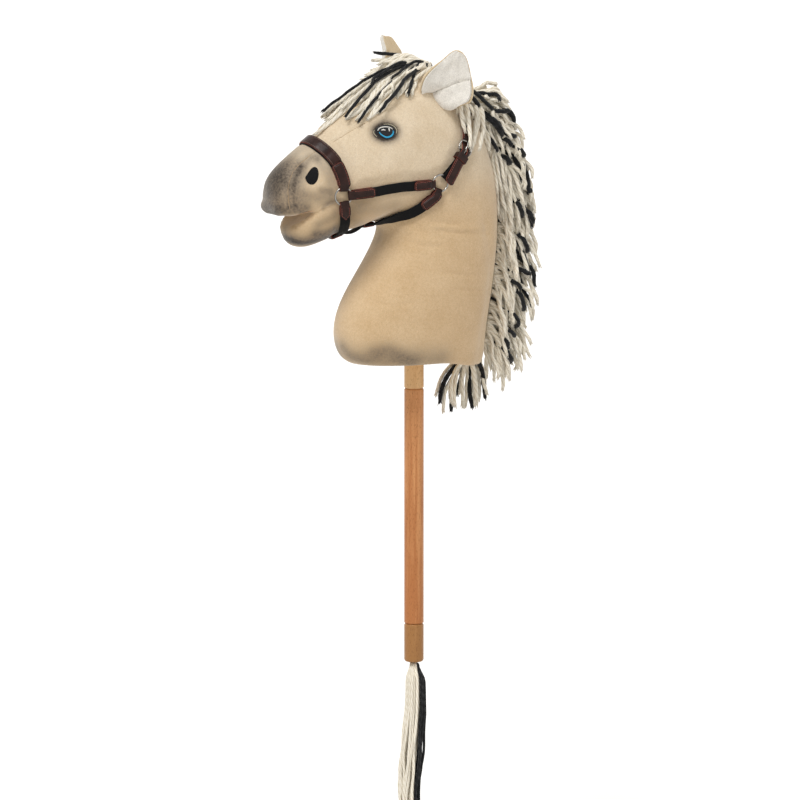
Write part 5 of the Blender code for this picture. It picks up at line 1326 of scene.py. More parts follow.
def band(name, slot, node, strap, span, width, h, thickness, finishes, crown, groove=0.0, flip=False,
         shift=0.0):
    """A flat strap over a span of s: rise c (1 - (2 v / w)^4), with a groove at the inset from each edge."""
    s = np.linspace(*span, max(2, round((span[1] - span[0]) / ROW)))
    half = width / 2
    inset = half - STITCH_INSET
    v = np.sort(np.concatenate([np.linspace(-half, half, BAND_COLUMNS_OVER), (-inset, inset)]))
    rise = crown * (1 - (v / half) ** 4) - groove * np.exp(-((np.abs(v) - inset) / GROOVE_HALF) ** 2)
    item = shell(name, "head", strap.at(s[:, None], v + shift, h), thickness, finishes, rise=rise, flip=flip,
                 lengths=s)
    return put(item, slot, node)


for node, strap, width in (("noseband_webbing", nose, NOSEBAND_WIDTH), ("chin_strap", chin, WEBBING_WIDTH),
                           ("throat_strap", throat, WEBBING_WIDTH)):
    begin = strap.start.radius + WEBBING_START
    band("woven_" + node, "webbing", node, strap, (begin, strap.length - begin), width, 0.0,
         WEBBING_THICKNESS, (WEBBING,), WEBBING_CROWN)
for side, flip in (("left", False), ("right", True)):
    span = (front.radius + WEBBING_START, cheek.length - rear.radius - WEBBING_START)
    band(f"woven_cheek_strap_{side}", "webbing", f"cheek_strap_{side}", cheek, span, CHEEK_WIDTH, 0.0,
         WEBBING_THICKNESS, (WEBBING,), WEBBING_CROWN, flip=flip)
leather_span = (NOSEBAND_TAB + FOLD_GAP, nose.length - NOSEBAND_TAB - FOLD_GAP)
band("noseband_leather_top", "leather", "noseband_leather", nose, leather_span, NOSEBAND_LEATHER_WIDTH,
     ABOVE_WEBBING, LEATHER_THICKNESS, (LEATHER, CUT_EDGE), LEATHER_CROWN, GROOVE_DEPTH, shift=NOSEBAND_SHIFT)
print("band rows every", ROW * 1000, "mm")

# %% [markdown]
# ## Leather tabs and stitches
# A tab is leather folded round a ring: one sheet runs up the lower leg, half round the wire, and back along
# the upper leg. Its upper face is raised in the middle, where the webbing's end lies inside, and pressed down
# along the line of stitches. Each stitch is a short arched length of waxed thread.

# %% Leather tabs
TAB_ROWS, TAB_COLUMNS, FOLD_STEPS = 46, 25, 7
TAB_WIDENING = 0.005
TAB_ROUNDING = 0.004
TAB_RAISE = 0.0018
RED, TAN = [], []
THREAD_RADIUS, STITCH_PITCH, STITCH_SHARE, STITCH_STEPS = 0.00036, 0.0031, 0.72, 5


def sew(kind, strap, line, top, flip=False, seat=0.9):
    """Stitches along rows of (s, v) or (s, v, h): top + r (seat - 1.8 x^2) higher, x from -1 to 1 in each."""
    line = np.array(line)
    way = way_along(line[:, :2])
    middles = np.arange(STITCH_PITCH / 2, way[-1], STITCH_PITCH)[:, None]
    x = np.linspace(-1, 1, STITCH_STEPS)
    along = middles + x * STITCH_PITCH * STITCH_SHARE / 2
    s, v, *deep = (np.interp(along, way, column) for column in line.T)
    paths = strap.at(s, v, sum(deep) + top + THREAD_RADIUS * (seat - 1.8 * x * x))
    kind.append(paths * OTHER_SIDE if flip else paths)


def tab(name, node, strap, width, length, flip=False, pointed=False):
    """Leather folded round the ring at the strap's start: lower leg, half turn, upper leg; v is -1 to 1.

    s = wire + (end - wire) d, and the half width grows from the neck's to the full one over 5 mm. The end is
    length - 2 r |v| where the tab is pointed, else length - r v^4."""
    radius, neck = strap.start.radius, strap.start.neck / 2
    v = np.linspace(-1, 1, TAB_COLUMNS)
    d = np.linspace(0, 1, TAB_ROWS)[:, None]
    wire = math.sqrt(radius ** 2 - neck ** 2) + 0 * v
    end = length - (2.0 * TAB_ROUNDING * np.abs(v) if pointed else TAB_ROUNDING * v ** 4)
    s = wire + (end - wire) * d
    half = neck + (width / 2 - neck) * eased(s - radius, 0, TAB_WIDENING)
    lower = strap.at(s[::-1], (v * half)[::-1], -FOLD)
    a = np.linspace(math.pi, 0, FOLD_STEPS + 2)[1:-1, None]
    fold = strap.at(wire - FOLD * np.sin(a), v * neck + 0 * a, FOLD * np.cos(a))
    upper = strap.at(s, v * half, FOLD)
    border = np.minimum(half * (1 - np.abs(v)), end - s)
    ahead = eased(s - radius, 0.001, 0.008)
    rise = (TAB_RAISE * eased(border, STITCH_INSET, STITCH_INSET + 0.0028)
            - GROOVE_DEPTH * np.exp(-((border - STITCH_INSET) / GROOVE_HALF) ** 2)) * ahead
    rows = np.concatenate([lower, fold, upper])
    rise = np.concatenate([np.zeros((len(lower) + len(fold), TAB_COLUMNS)), rise])
    put(shell(name, "head", rows, LEATHER_THICKNESS, (LEATHER, CUT_EDGE), rise=rise, flip=flip), "leather",
        node)
    out = np.linspace(0, 1, 30)
    first = radius + 0.004
    last = end[TAB_COLUMNS // 2] - STITCH_INSET
    corner = np.interp(1 - STITCH_INSET * 2 / width, v, end) - STITCH_INSET
    edge = width / 2 - STITCH_INSET
    side_s = first + (corner - first) * out
    side_v = np.minimum(edge, neck + (width / 2 - neck) * eased(side_s - radius, 0, TAB_WIDENING)
                        - STITCH_INSET)
    turn = np.linspace(1, -1, 21)[1:-1]
    bow = 1 - np.abs(turn) if pointed else 1 - turn ** 4
    line = ([*zip(side_s, side_v)] + [(corner + (last - corner) * b, edge * t) for b, t in zip(bow, turn)]
            + [*zip(side_s[::-1], -side_v[::-1])])
    sew(RED, strap, line, FOLD + LEATHER_THICKNESS / 2 - GROOVE_DEPTH / 2, flip)


for side, flip in (("left", False), ("right", True)):
    tab(f"cheek_front_leather_{side}", f"cheek_front_tab_{side}", cheek, CHEEK_WIDTH, CHEEK_FRONT_TAB, flip)
    tab(f"cheek_rear_leather_{side}", f"cheek_rear_tab_{side}", cheek_back, CHEEK_WIDTH, CHEEK_REAR_TAB, flip)
    tab(f"noseband_leather_{side}", f"noseband_tab_{side}", nose, NOSEBAND_WIDTH, NOSEBAND_TAB, flip)
    tab(f"chin_leather_{side}", f"chin_tab_{side}", chin, WEBBING_WIDTH, CHIN_TAB, flip, pointed=True)
    tab(f"throat_leather_{side}", f"throat_tab_{side}", throat, WEBBING_WIDTH, THROAT_TAB, flip)
for sign in (-1, 1):
    v = NOSEBAND_SHIFT + sign * (NOSEBAND_LEATHER_WIDTH / 2 - STITCH_INSET)
    sew(TAN, nose, [(leather_span[0], v), (leather_span[1], v)],
        ABOVE_WEBBING + LEATHER_THICKNESS / 2 - GROOVE_DEPTH / 2)
print("lines of stitches:", len(RED) + len(TAN))

# %% [markdown]
# ## The jaw strap
# Two leather loops under the jaw hold a short strap between the chin and the throat. A loop is a rounded
# rectangle in v and h, carried along s; the strap hangs between the loops in a shallow arc.

# %% Loops and the jaw strap
LOOP_LENGTH, LOOP_CORNER, LOOP_STEPS = 0.012, 0.0014, 64
JAW_STRAP_SAG, JAW_STRAP_WIDTH = 0.004, 0.013


def loop_round(name, node, strap, middle, length, low, high, width, thickness):
    """A closed loop round what lies between low and high: a rounded rectangle in v and h, 64 points round."""
    half = width / 2 + FOLD_GAP + thickness / 2
    corner = min(LOOP_CORNER, (high - low) / 2.2)
    a = np.linspace(0, 2 * math.pi, 36, endpoint=False) + math.pi / 36
    v = np.sign(np.cos(a)) * (half - corner) + corner * np.cos(a)
    h = (low + high) / 2 + np.sign(np.sin(a)) * ((high - low) / 2 - corner) + corner * np.sin(a)
    outline = np.stack([*(np.append(k, k[0]) for k in (v, h))], 1)
    way = way_along(outline)
    even = np.linspace(0, way[-1], LOOP_STEPS, endpoint=False)
    v, h = (np.interp(even, way, outline[:, k])[:, None] for k in range(2))
    s = middle + length * np.linspace(-0.5, 0.5, 9)
    item = shell(name, "head", strap.at(s, v, h), thickness, (LEATHER, CUT_EDGE), closed=True)
    return put(item, "leather", node)


high = WEBBING_THICKNESS / 2 + FOLD_GAP + LEATHER_THICKNESS / 2
for node, strap in (("jaw_loop_front", chin), ("jaw_loop_rear", throat)):
    loop_round(node + "_leather", node, strap, strap.length / 2, LOOP_LENGTH, -high, high, WEBBING_WIDTH,
               LEATHER_THICKNESS)
edge = WEBBING_WIDTH / 2 + 2 * FOLD_GAP + LEATHER_THICKNESS
goal = throat.at(throat.length / 2, 0.0, 0.0)
begin = min((chin.at(chin.length / 2, k * edge, 0.0) for k in (1, -1)),
            key=lambda p: np.linalg.norm(p - goal))
stop = min((throat.at(throat.length / 2, k * edge, 0.0) for k in (1, -1)),
           key=lambda p: np.linalg.norm(p - begin))
t = np.linspace(0, 1, 36)[:, None]
middle = begin * (1 - t) + stop * t - (0.0, 0.0, JAW_STRAP_SAG) * np.sin(math.pi * t)
over = np.linspace(-0.5, 0.5, BAND_COLUMNS_OVER) * JAW_STRAP_WIDTH
rows = middle[:, None] + over[None, :, None] * np.array((1.0, 0.0, 0.0))
jaw = shell("woven_jaw_strap", "head", rows[:, ::-1], WEBBING_THICKNESS, (WEBBING,),
            lengths=way_along(middle))
put(jaw, "webbing", "jaw_strap")
print("jaw strap length in mm:", round(way_along(middle)[-1] * 1000))

# %% [markdown]
# ## The crown strap
# The crown strap goes behind the ears. On the left its free end lies over the buckle, dips through it and
# hides under the keeper, so its height is a table over s. Its slot is made by leaving faces out of the sheet.

# %% The crown strap
CROWN_SIDES = ((0.067, 0.050, 0.306), (0.062, 0.061, 0.335), (0.050, 0.061, 0.372), (0.030, 0.051, 0.396))
CROWN_TOP = (0.0, 0.044, 0.407)
CROWN_WIDTH = 0.015
BUCKLE_FROM_RING, BUCKLE_LENGTH, BUCKLE_WIDTH, BUCKLE_WIRE, TONGUE_WIRE = 0.064, 0.016, 0.0226, 0.0024, 0.002
TONGUE_SLOT, TONGUE_SLOT_BEFORE, TONGUE_SLOT_AFTER = 0.0044, 0.0045, 0.011
KEEPER_BEFORE_BUCKLE, KEEPER_LENGTH, KEEPER_THICKNESS = 0.010, 0.009, 0.0012
BUCKLE_CLEAR, BUCKLE_SLOPE, SINK_BEFORE_BUCKLE, SINK_AT_BUCKLE = 0.006, 0.030, 0.018, 0.002
BILLET_END_FROM_RING, BILLET_SIDE_DRIFT, BILLET_STAND_OFF, BILLET_CORNER = 0.006, 0.009, 0.005, 0.005
crown_seeds = [rear.foot, *CROWN_SIDES, CROWN_TOP, *map(mirror, CROWN_SIDES[::-1]), rear_right.foot]
raised = LIFT + KEEPER_THICKNESS + FOLD_GAP + LEATHER_THICKNESS / 2 + FOLD
heel, front_bar = BUCKLE_FROM_RING - BUCKLE_LENGTH / 2, BUCKLE_FROM_RING + BUCKLE_LENGTH / 2
keeper = heel - KEEPER_BEFORE_BUCKLE
past = front_bar + BUCKLE_CLEAR
crown = Strap(crown_seeds, CROWN_WIDTH, rear, rear_right, (front_bar, CROWN_TAB))
crown.heights = [(rear.radius, STRAP_HEIGHT), (keeper - KEEPER_LENGTH, raised), (past, raised),
                 (past + BUCKLE_SLOPE, REST_HEIGHT)] + crown.heights[2:]
crown_back = Strap(crown_seeds[::-1], CROWN_WIDTH, rear_right, rear)
tab("crown_leather_right", "crown_tab_right", crown_back, CROWN_WIDTH, CROWN_TAB)

over_webbing = FOLD + LEATHER_THICKNESS + GAP
under_wire = -(BUCKLE_WIRE / 2 + FOLD_GAP + LEATHER_THICKNESS / 2)
LEVELS = ((0.0, over_webbing + BILLET_STAND_OFF), (heel - SINK_BEFORE_BUCKLE, over_webbing),
          (heel + SINK_AT_BUCKLE, over_webbing), (front_bar - BUCKLE_WIRE, under_wire), (past, under_wire),
          (past + BUCKLE_SLOPE, 0.0))


def billet(s, v):
    """Where the crown strap lies: its height by the table above, and its free end's drift to one side."""
    drift = BILLET_SIDE_DRIFT * np.maximum(0.0, (keeper - KEEPER_LENGTH - s) / keeper)
    return v - drift, np.interp(s, *zip(*LEVELS))


half, slot = CROWN_WIDTH / 2, TONGUE_SLOT / 2
over = np.array((-1.0, -0.88, -0.7, -0.5, -slot / half, slot / half, 0.5, 0.7, 0.88, 1.0)) * half
route = np.arange(BILLET_END_FROM_RING, crown.length - rear.radius - WEBBING_START, ROW)
cut = BILLET_CORNER * np.maximum(0, np.abs(over) / half - 0.45)
s = route[:, None] + cut * (1 - eased(route, route[0], route[0] + 0.012))[:, None]
v, level = billet(s, over)
row = np.arange(len(route))
holes = [(i, 4) for i in row[(route > heel - TONGUE_SLOT_BEFORE) & (route + ROW < heel + TONGUE_SLOT_AFTER)]]
rise = LEATHER_CROWN * (1 - (over / half) ** 4)
strap = shell("crown_strap_leather", "head", crown.at(s, v, level), LEATHER_THICKNESS, (LEATHER, CUT_EDGE),
              rise=rise, lengths=route, holes=holes)
put(strap, "leather", "crown_strap")
for sign in (-1, 1):
    s = np.linspace(BILLET_END_FROM_RING + 0.004, crown.length - CROWN_TAB - 0.004, 160)
    v = sign * (half - STITCH_INSET)
    drifted, level = billet(s, v)
    line = np.stack([s, drifted, level], 1)
    for part in (s < keeper - KEEPER_LENGTH / 2, s > front_bar + BUCKLE_WIRE):
        sew(RED, crown, line[part], LEATHER_THICKNESS / 2, seat=1.0)
print("crown strap length in mm:", round(crown.length * 1000))

# %% [markdown]
# ## The buckle
# The buckle is a rounded frame of wire, a superellipse, and its tongue is a hook of thinner wire bent round
# the frame's rear bar. A short strap folds round that bar and the cheek's rear ring.

# %% The buckle, its strap and the keeper
TONGUE_TURN = math.radians(265.0)
TONGUE_PAST_BAR = 0.0015
SQUARENESS = 5.0
side = BUCKLE_WIDTH / 2
a = np.linspace(0, 2 * math.pi, 96, endpoint=False)
round_s, round_v = (np.sign(k) * np.abs(k) ** (2 / SQUARENESS) for k in (np.cos(a), np.sin(a)))
frame_path = crown.at(BUCKLE_FROM_RING + BUCKLE_LENGTH / 2 * round_s, side * round_v, 0.0)
put(tubes("buckle_wire", "head", frame_path[None], BUCKLE_WIRE / 2, 12, STEEL, closed=True), "steel",
    "buckle_frame")

eye = BUCKLE_WIRE / 2 + GAP + TONGUE_WIRE / 2
turn = np.linspace(TONGUE_TURN, 0, 26)
ahead = np.linspace(heel + eye / 4, front_bar + TONGUE_PAST_BAR, 20)
tongue_s = np.concatenate([heel - eye * np.sin(turn), ahead])
tongue_h = np.concatenate([eye * np.cos(turn), np.full(20, eye)])
tongue_path = crown.at(tongue_s, 0.0, tongue_h)
put(tubes("tongue_wire", "tongue", tongue_path[None], TONGUE_WIRE / 2, 12, STEEL), "steel", "buckle_tongue")

half = rear.neck / 2
over = np.array((-1.0, -0.9, -0.72, -slot / half, slot / half, 0.72, 0.9, 1.0)) * half
ring_at = np.sqrt(rear.radius ** 2 - over ** 2)
leg = ring_at + (heel - ring_at) * np.linspace(0, 1, 26)[:, None]
a = np.linspace(0, math.pi, 9)[1:-1, None]
parts = ((leg, FOLD), (heel + FOLD * np.sin(a) + 0 * over, FOLD * np.cos(a)), (leg[::-1], -FOLD),
         (ring_at - FOLD * np.sin(a), -FOLD * np.cos(a)))
rows = np.concatenate([crown.at(s, over, h) for s, h in parts])
middle_s = np.concatenate([s.mean(1) for s, _ in parts[:3]])
slotted = np.flatnonzero(middle_s > heel - TONGUE_SLOT_BEFORE)
way = way_along(rows[:, 4])
strap = shell("buckle_strap_webbing", "head", rows, LEATHER_THICKNESS, (WEBBING,), closed=True,
              lengths=np.append(way, way[-1] + ROW), holes=[(i, 3) for i in slotted[:-1]])
put(strap, "webbing", "buckle_strap")
low = -(FOLD + LEATHER_THICKNESS / 2 + GAP + KEEPER_THICKNESS / 2)
high = over_webbing + LEATHER_THICKNESS / 2 + FOLD_GAP + KEEPER_THICKNESS / 2
loop_round("keeper_leather", "keeper", crown, keeper, KEEPER_LENGTH, low, high, CROWN_WIDTH, KEEPER_THICKNESS)
for name, kind, finish in (("red_stitches", RED, RED_THREAD), ("tan_stitches", TAN, TAN_THREAD)):
    put(tubes(name, "head", np.concatenate(kind), THREAD_RADIUS, 5, finish), "leather")
print("stitches:", sum(len(k) for k in RED + TAN))

# %% [markdown]
# ## Yarn: mane, forelock and tail
# Each strand is a length of yarn sewn at one end and cut at the other. Strands are worked out all together as
# an array of paths: out from the tape, then down by their own weight, with a slow random wave. Where a path
# would pass through the plush it is pushed out to the skin. Near its cut end the yarn untwists into three
# thin plies that stand apart, which gives the frayed outline. Here and there a strand is black.

# %% Strands
YARN, FORELOCK_YARN, TAIL_YARN = 0.0056, 0.0058, 0.0040
YARN_SIDES, PLY_SIDES = 8, 4
FRAY_COUNT, FRAY_STEPS, FRAY_LENGTH, FRAY_SPREAD = 5, 5, 0.0065, 0.0016
chance = np.random.default_rng(7)


def waves(count, steps, size, turns):
    """A slow wave for each strand in three directions: size t sin(2 pi (f t + p)), twice, f near turns."""
    t = np.linspace(0, 1, steps)[None, :, None]
    out = 0
    for share in (1.0, 0.5):
        f = chance.uniform(0.6, 1.4, (count, 1, 3)) * turns / share
        p = chance.uniform(0, 1, (count, 1, 3))
        out = out + share * (np.sin(2 * math.pi * (f * t + p)) - np.sin(2 * math.pi * p))
    return out * size * t


def off_skin(paths, clear):
    """The paths with every point that lies under or near the skin pushed out to the given height over it."""
    spots, normals = on_skin(paths)
    height = ((paths - spots) * normals).sum(-1, keepdims=True)
    close = np.linalg.norm(paths - spots, axis=-1, keepdims=True) < 0.03
    return paths + normals * np.where(close, np.maximum(0, clear - height), 0)


def frayed(paths, radius):
    """Thin plies at each strand's cut end: E + L s T + (r / 2 + c s) (cos a N + sin a B)."""
    tip = paths[:, -1]
    tangent = unit(paths[:, -1] - paths[:, -3])
    normal = unit(np.cross(tangent, chance.normal(size=tangent.shape)))
    side = np.cross(tangent, normal)
    s = np.linspace(-0.4, 1, FRAY_STEPS)[None, None, :, None]
    ply = (np.arange(FRAY_COUNT) * 2 * math.pi / FRAY_COUNT)[None, :, None, None]
    a = ply + chance.uniform(0, 6, (len(tip), 1, 1, 1))
    each = (len(tip), FRAY_COUNT, 1, 1)
    length = FRAY_LENGTH * chance.uniform(0.4, 1.1, each)
    spread = radius * 0.45 + FRAY_SPREAD * np.maximum(s, 0) * chance.uniform(-0.4, 1.2, each)
    out = (tip[:, None, None] + tangent[:, None, None] * length * s
           + (np.cos(a) * normal[:, None, None] + np.sin(a) * side[:, None, None]) * spread)
    return out.reshape(-1, FRAY_STEPS, 3)


def yarn_piece(name, body, slot, node, paths, diameter, finish):
    """Strands with frayed ends as one piece, each in a slightly different shade."""
    steps = paths.shape[1]
    radius = diameter / 2 * chance.uniform(0.82, 1.12, (len(paths), 1))
    t = np.linspace(0, 1, steps)
    lumps = 1 + 0.06 * np.sin(40 * t + chance.uniform(0, 6, (len(paths), 1)))
    radii = radius * (1 - 0.3 * eased(t, 0.93, 1.0)) * lumps
    shades = chance.uniform(0.88, 1.0, len(paths))
    thick = tube_arrays(paths, radii, YARN_SIDES)
    plies = frayed(paths, radius[:, :, None, None].mean())
    thin = tube_arrays(plies, np.linspace(0.52, 0.12, FRAY_STEPS) * diameter / 2, PLY_SIDES)
    points = np.vstack([thick[0], thin[0]])
    first = len(thick[0])
    quads, triangles = (np.vstack([a, b + first]) for a, b in zip(thick[1:3], thin[1:3]))
    split, cut = 4 * len(thick[1]), 4 * len(thin[1])
    uv = np.vstack([thick[3][:split], thin[3][:cut], thick[3][split:], thin[3][cut:]])
    item = new_piece(name, body, points, quads, triangles, (finish,), uv)
    each = np.concatenate([np.repeat(shades, first // len(paths)),
                           np.repeat(np.repeat(shades, FRAY_COUNT), len(thin[0]) // len(plies))])
    number_points(item.data, "shade", each)
    return put(item, slot, node)


print("yarn diameter in mm:", YARN * 1000)

# %% [markdown]
# ## The mane's strands
# The tape is sewn over the padded seam of the crest, from the poll to the neck's bottom. The table below
# follows the mane's solids: the crest's Y and Z, how far the yarn stands off it, and half its width. A strand
# leaves the tape, arches out by its own share of that reach and falls: those with little reach lie on the
# neck, and those with much of it make the outline. Most black strands lie far out. Where one comes up between
# the white ones is listed, from where it shows, and the far side gets the same ones.

# %% The mane
MANE_STATIONS = (
    (0.076, 0.378, 0.060, 0.026), (0.098, 0.342, 0.068, 0.032), (0.116, 0.300, 0.060, 0.032),
    (0.126, 0.255, 0.058, 0.030), (0.127, 0.205, 0.057, 0.030), (0.123, 0.150, 0.058, 0.030),
    (0.117, 0.100, 0.060, 0.030), (0.109, 0.055, 0.058, 0.028), (0.104, 0.022, 0.054, 0.028))
# The share that is kept of the skin's upward slope, so that the yarn leaves the crest more level
FLATTENED = 0.40
TAPE_WIDTH, TAPE_HEIGHT, TAPE_WALL, TAPE_RIDGE = 0.022, 0.0018, 0.0016, 0.0060
STRAND_STEPS = 22
ROOT_HALF, ROOT_HEIGHT, CLEAR = 0.0045, 0.0080, 0.0034
DROP_SHARES = ((0.0, 0.06, 0.16, 0.30, 0.85, 1.0), (0.26, 0.45, 0.68, 1.0, 1.0, 0.8))
OUTER_WHITE, INNER_WHITE, BLACK_COUNT = 400, 130, 48
DOWN = np.array((0.0, 0.0, -1.0))
SIDEWAYS = np.array((1.0, 0.0, 0.0))

crest, outward = on_skin([(0.0, y, z) for y, z, _, _ in MANE_STATIONS])
crest_table = np.hstack([crest * (0, 1, 1), outward * (0, 1, FLATTENED), np.array(MANE_STATIONS)[:, 2:]])
CREST = curve_through(crest_table, 120)
tape_middle = on_skin(CREST[:, :3])[0]
across = np.linspace(-1, 1, 9)
tape_spots, tape_away = on_skin(tape_middle[:, None] + across[None, :, None] * SIDEWAYS * TAPE_WIDTH / 2)
tape_rise = TAPE_HEIGHT + TAPE_RIDGE * (1 - across[None, :, None] ** 4)
tape = shell("mane_woven_tape", "head", (tape_spots + tape_away * tape_rise)[:, ::-1], TAPE_WALL, (TAPE,),
             lengths=way_along(tape_middle))
put(tape, "woven_tape", "mane_tape")


def crest_at(share):
    """The crest's point, outward direction, reach and half width at shares of its length."""
    row = np.clip(share, 0, 1) * (len(CREST) - 1)
    table = np.stack([np.interp(row, np.arange(len(CREST)), CREST[:, k]) for k in range(8)], 1)
    return table[:, :3], unit(table[:, 3:6]), table[:, 6:7], table[:, 7:8]


def mane_paths(share, side, reach, drop):
    """R + n (e + H rho (1 - (1 - t)^2)) + x (S side t^0.8) + down D t^1.45, plus the wave."""
    spot, away, tall, half = (a[:, None] for a in crest_at(share))
    t = np.linspace(0, 1, STRAND_STEPS)[None, :, None]
    side, reach, drop = side[:, None, None], reach[:, None, None], drop[:, None, None]
    aside = side * (ROOT_HALF + (half - ROOT_HALF) * t ** 0.8)
    paths = (spot + away * (ROOT_HEIGHT + tall * reach * (1 - (1 - t) ** 2)) + SIDEWAYS * aside
             + DOWN * drop * t ** 1.45)
    return off_skin(paths + waves(len(share), STRAND_STEPS, 0.0022, 1.2), CLEAR)


def mane_group(count, low, high, bias):
    """Random strands: where along the crest, to which side, how far out and how far down."""
    share = (np.arange(count) + chance.uniform(0, 1, count)) / count
    side = chance.uniform(-1, 1, count)
    reach = low + (high - low) * chance.uniform(0, 1, count) ** bias
    drop = chance.uniform(0.052, 0.098, count) * np.interp(share, *DROP_SHARES) * (1.1 - 0.35 * reach)
    return mane_paths(share, side, reach, drop)


# Black yarn that comes up between the white strands on each side: where it shows, and its strands
BLACK_BITS = (
    (469, 96, 480, 107, 1), (477, 94.6, 492.7, 109.3, 1), (499, 112, 510, 111.5, 1), (471, 117, 475, 121, 1),
    (476, 113, 482.6, 124, 1), (492, 119, 504, 133, 2), (508, 134, 516, 137, 1), (491, 139, 497.3, 151, 1),
    (507, 140, 513, 145.5, 1), (517, 147, 526, 155, 1), (507.4, 158, 511, 163, 1),
    (521.4, 162, 526.8, 167.5, 1), (528, 186, 532, 192, 1), (519, 203, 524, 214, 1), (530, 212, 534, 222, 1),
    (524, 238, 529, 250, 1), (523, 270, 530, 274, 1), (518, 283, 522, 288, 1), (522, 294, 527, 308, 1),
    (515, 314, 520, 324, 1), (511, 331, 516, 336, 1), (507, 340, 510, 347, 1), (507, 350, 513, 360, 1))
BIT_SIDE, BIT_DEEP = 0.0290, 0.017


def black_bits():
    """Strands along A + (B - A) (1.6 t - 0.3) at the mane's side, whose ends dive in by d |2 t - 1|^3."""
    t = np.linspace(0, 1, STRAND_STEPS)[:, None]
    paths = []
    for x0, y0, x1, y1, strands in BLACK_BITS:
        ends = at_pixel(x0, y0), at_pixel(x1, y1)
        start, end = (p + BACK * (BIT_SIDE - p[0]) / BACK[0] for p in ends)
        across = unit(np.cross(BACK, end - start))
        for k in range(strands):
            shift = across * (k - (strands - 1) / 2) * YARN * 0.7 - SIDEWAYS * chance.uniform(0, 0.002)
            dive = SIDEWAYS * BIT_DEEP * np.abs(2 * t - 1) ** 3
            paths.append(start + (end - start) * (1.6 * t - 0.3) + shift - dive)
    paths = np.array(paths)
    return off_skin(paths + waves(len(paths), STRAND_STEPS, 0.0008, 1.5), CLEAR)


white_paths = np.vstack([mane_group(OUTER_WHITE, 0.25, 1.0, 0.6), mane_group(INNER_WHITE, 0.06, 0.35, 1.0)])
black_paths = np.vstack([mane_group(BLACK_COUNT // 2, 0.72, 0.94, 1.0),
                         mane_group(BLACK_COUNT // 2, 0.30, 0.75, 1.0)])
bits = black_bits()
black_paths = np.vstack([black_paths, bits, bits * OTHER_SIDE])
print("mane strands:", len(white_paths) + len(black_paths))

# %% [markdown]
# ## Locks that lie on the plush
# Some strands don't hang free but lie on the plush. Each runs from its root to a listed tip, at a small
# height over the skin, the later strands over the earlier ones.

# %% Locks on the plush


def laid_paths(roots, tips, heights, arch, wave, steps=STRAND_STEPS):
    """R + (T - R) t + up arch sin(pi t^0.8), then never nearer to the skin than the strand's own height."""
    t = np.linspace(0, 1, steps)[None, :, None]
    arch = np.broadcast_to(arch, len(roots))[:, None, None]
    paths = roots[:, None] * (1 - t) + tips[:, None] * t
    paths = paths - DOWN * (arch * np.sin(math.pi * t ** 0.8)) + waves(len(roots), steps, wave, 1.1)
    spots, normals = on_skin(paths)
    height = ((paths - spots) * normals).sum(-1, keepdims=True)
    goal = heights[:, None, None] * np.minimum(1.0, 0.6 + t)
    return paths + normals * np.maximum(0, goal - height)


def jittered(pixels, size):
    """Pixels moved at random by up to size."""
    return np.array(pixels, float) + chance.uniform(-size, size, (len(pixels), 2))


# %% [markdown]
# ## The forelock
# It springs from one seam between the ears and falls over the brow, the lowest row of strands first. A few
# strands stand up before the far ear, and the black ones lie at heights of their own between the white ones.

# %% The forelock
FORELOCK_ROOT = np.array((0.002, 0.014, 0.422))
# Where the white strands end, the lowest row first, then the rows that lie over it
LOW_TIPS = ((382, 112), (377, 114), (372, 116), (367, 118), (362, 119), (357, 120), (352, 120), (347, 119),
            (342, 117), (337, 120), (331, 122), (326, 127), (319, 135))
HIGH_TIPS = ((372, 104), (362, 110), (352, 112), (344, 110), (336, 113), (356, 105), (366, 100), (347, 106),
             (380, 100), (390, 96), (400, 92), (330, 117), (323, 124))
BLACK_TIPS = ((382, 115.4), (362, 121), (349, 121.5), (330, 122), (338, 110), (409, 91), (376, 93), (395, 84),
              (352, 98))
DARK_HEIGHTS = (0.0135, 0.0090, 0.0150, 0.0190, 0.0260, 0.0070, 0.0200, 0.0150, 0.0240)
FAR_TIPS = ((-0.034, -0.100, 0.372), (-0.030, -0.112, 0.366), (-0.022, -0.122, 0.362),
            (-0.012, -0.130, 0.360), (-0.004, -0.128, 0.362), (-0.038, -0.088, 0.376),
            (-0.042, -0.074, 0.382), (0.008, -0.118, 0.366), (-0.018, -0.108, 0.370), (-0.046, -0.060, 0.388),
            (0.004, -0.138, 0.354))
# Tips that stand up in front of the far ear
TOP_TIPS = ((-0.020, -0.044, 0.422), (-0.028, -0.046, 0.416), (-0.012, -0.053, 0.416),
            (-0.022, -0.058, 0.410), (-0.030, -0.038, 0.419), (-0.006, -0.064, 0.406),
            (-0.016, -0.036, 0.426), (-0.034, -0.056, 0.404), (-0.014, -0.060, 0.411),
            (-0.024, -0.050, 0.414), (-0.004, -0.052, 0.418), (-0.010, -0.072, 0.402))
low_tips, high_tips = seen(jittered(LOW_TIPS, 1.0))[0], seen(jittered(HIGH_TIPS, 1.5))[0]
far_tips = on_skin(FAR_TIPS)[0]
tips = np.vstack([low_tips, far_tips, high_tips, far_tips + chance.uniform(-0.006, 0.006, far_tips.shape)])
count = len(tips)
roots = FORELOCK_ROOT + chance.uniform(-1, 1, (count, 3)) * (0.012, 0.008, 0.004)
roots[:len(low_tips), 0] += 0.010
heights = 0.0032 + 0.0095 * np.arange(count) / count
forelock = laid_paths(roots, tips, heights, 0.004 + 0.010 * np.arange(count) / count, 0.0022)
top_tips = np.array(TOP_TIPS)
top_roots = FORELOCK_ROOT + chance.uniform(-1, 1, (len(top_tips), 3)) * (0.008, 0.006, 0.002)
forelock = np.vstack([forelock, laid_paths(top_roots, top_tips, np.full(len(top_tips), 0.011), 0.012, 0.003)])
near_roots = seen(((417, 80), (415, 86), (419, 75)))[0]
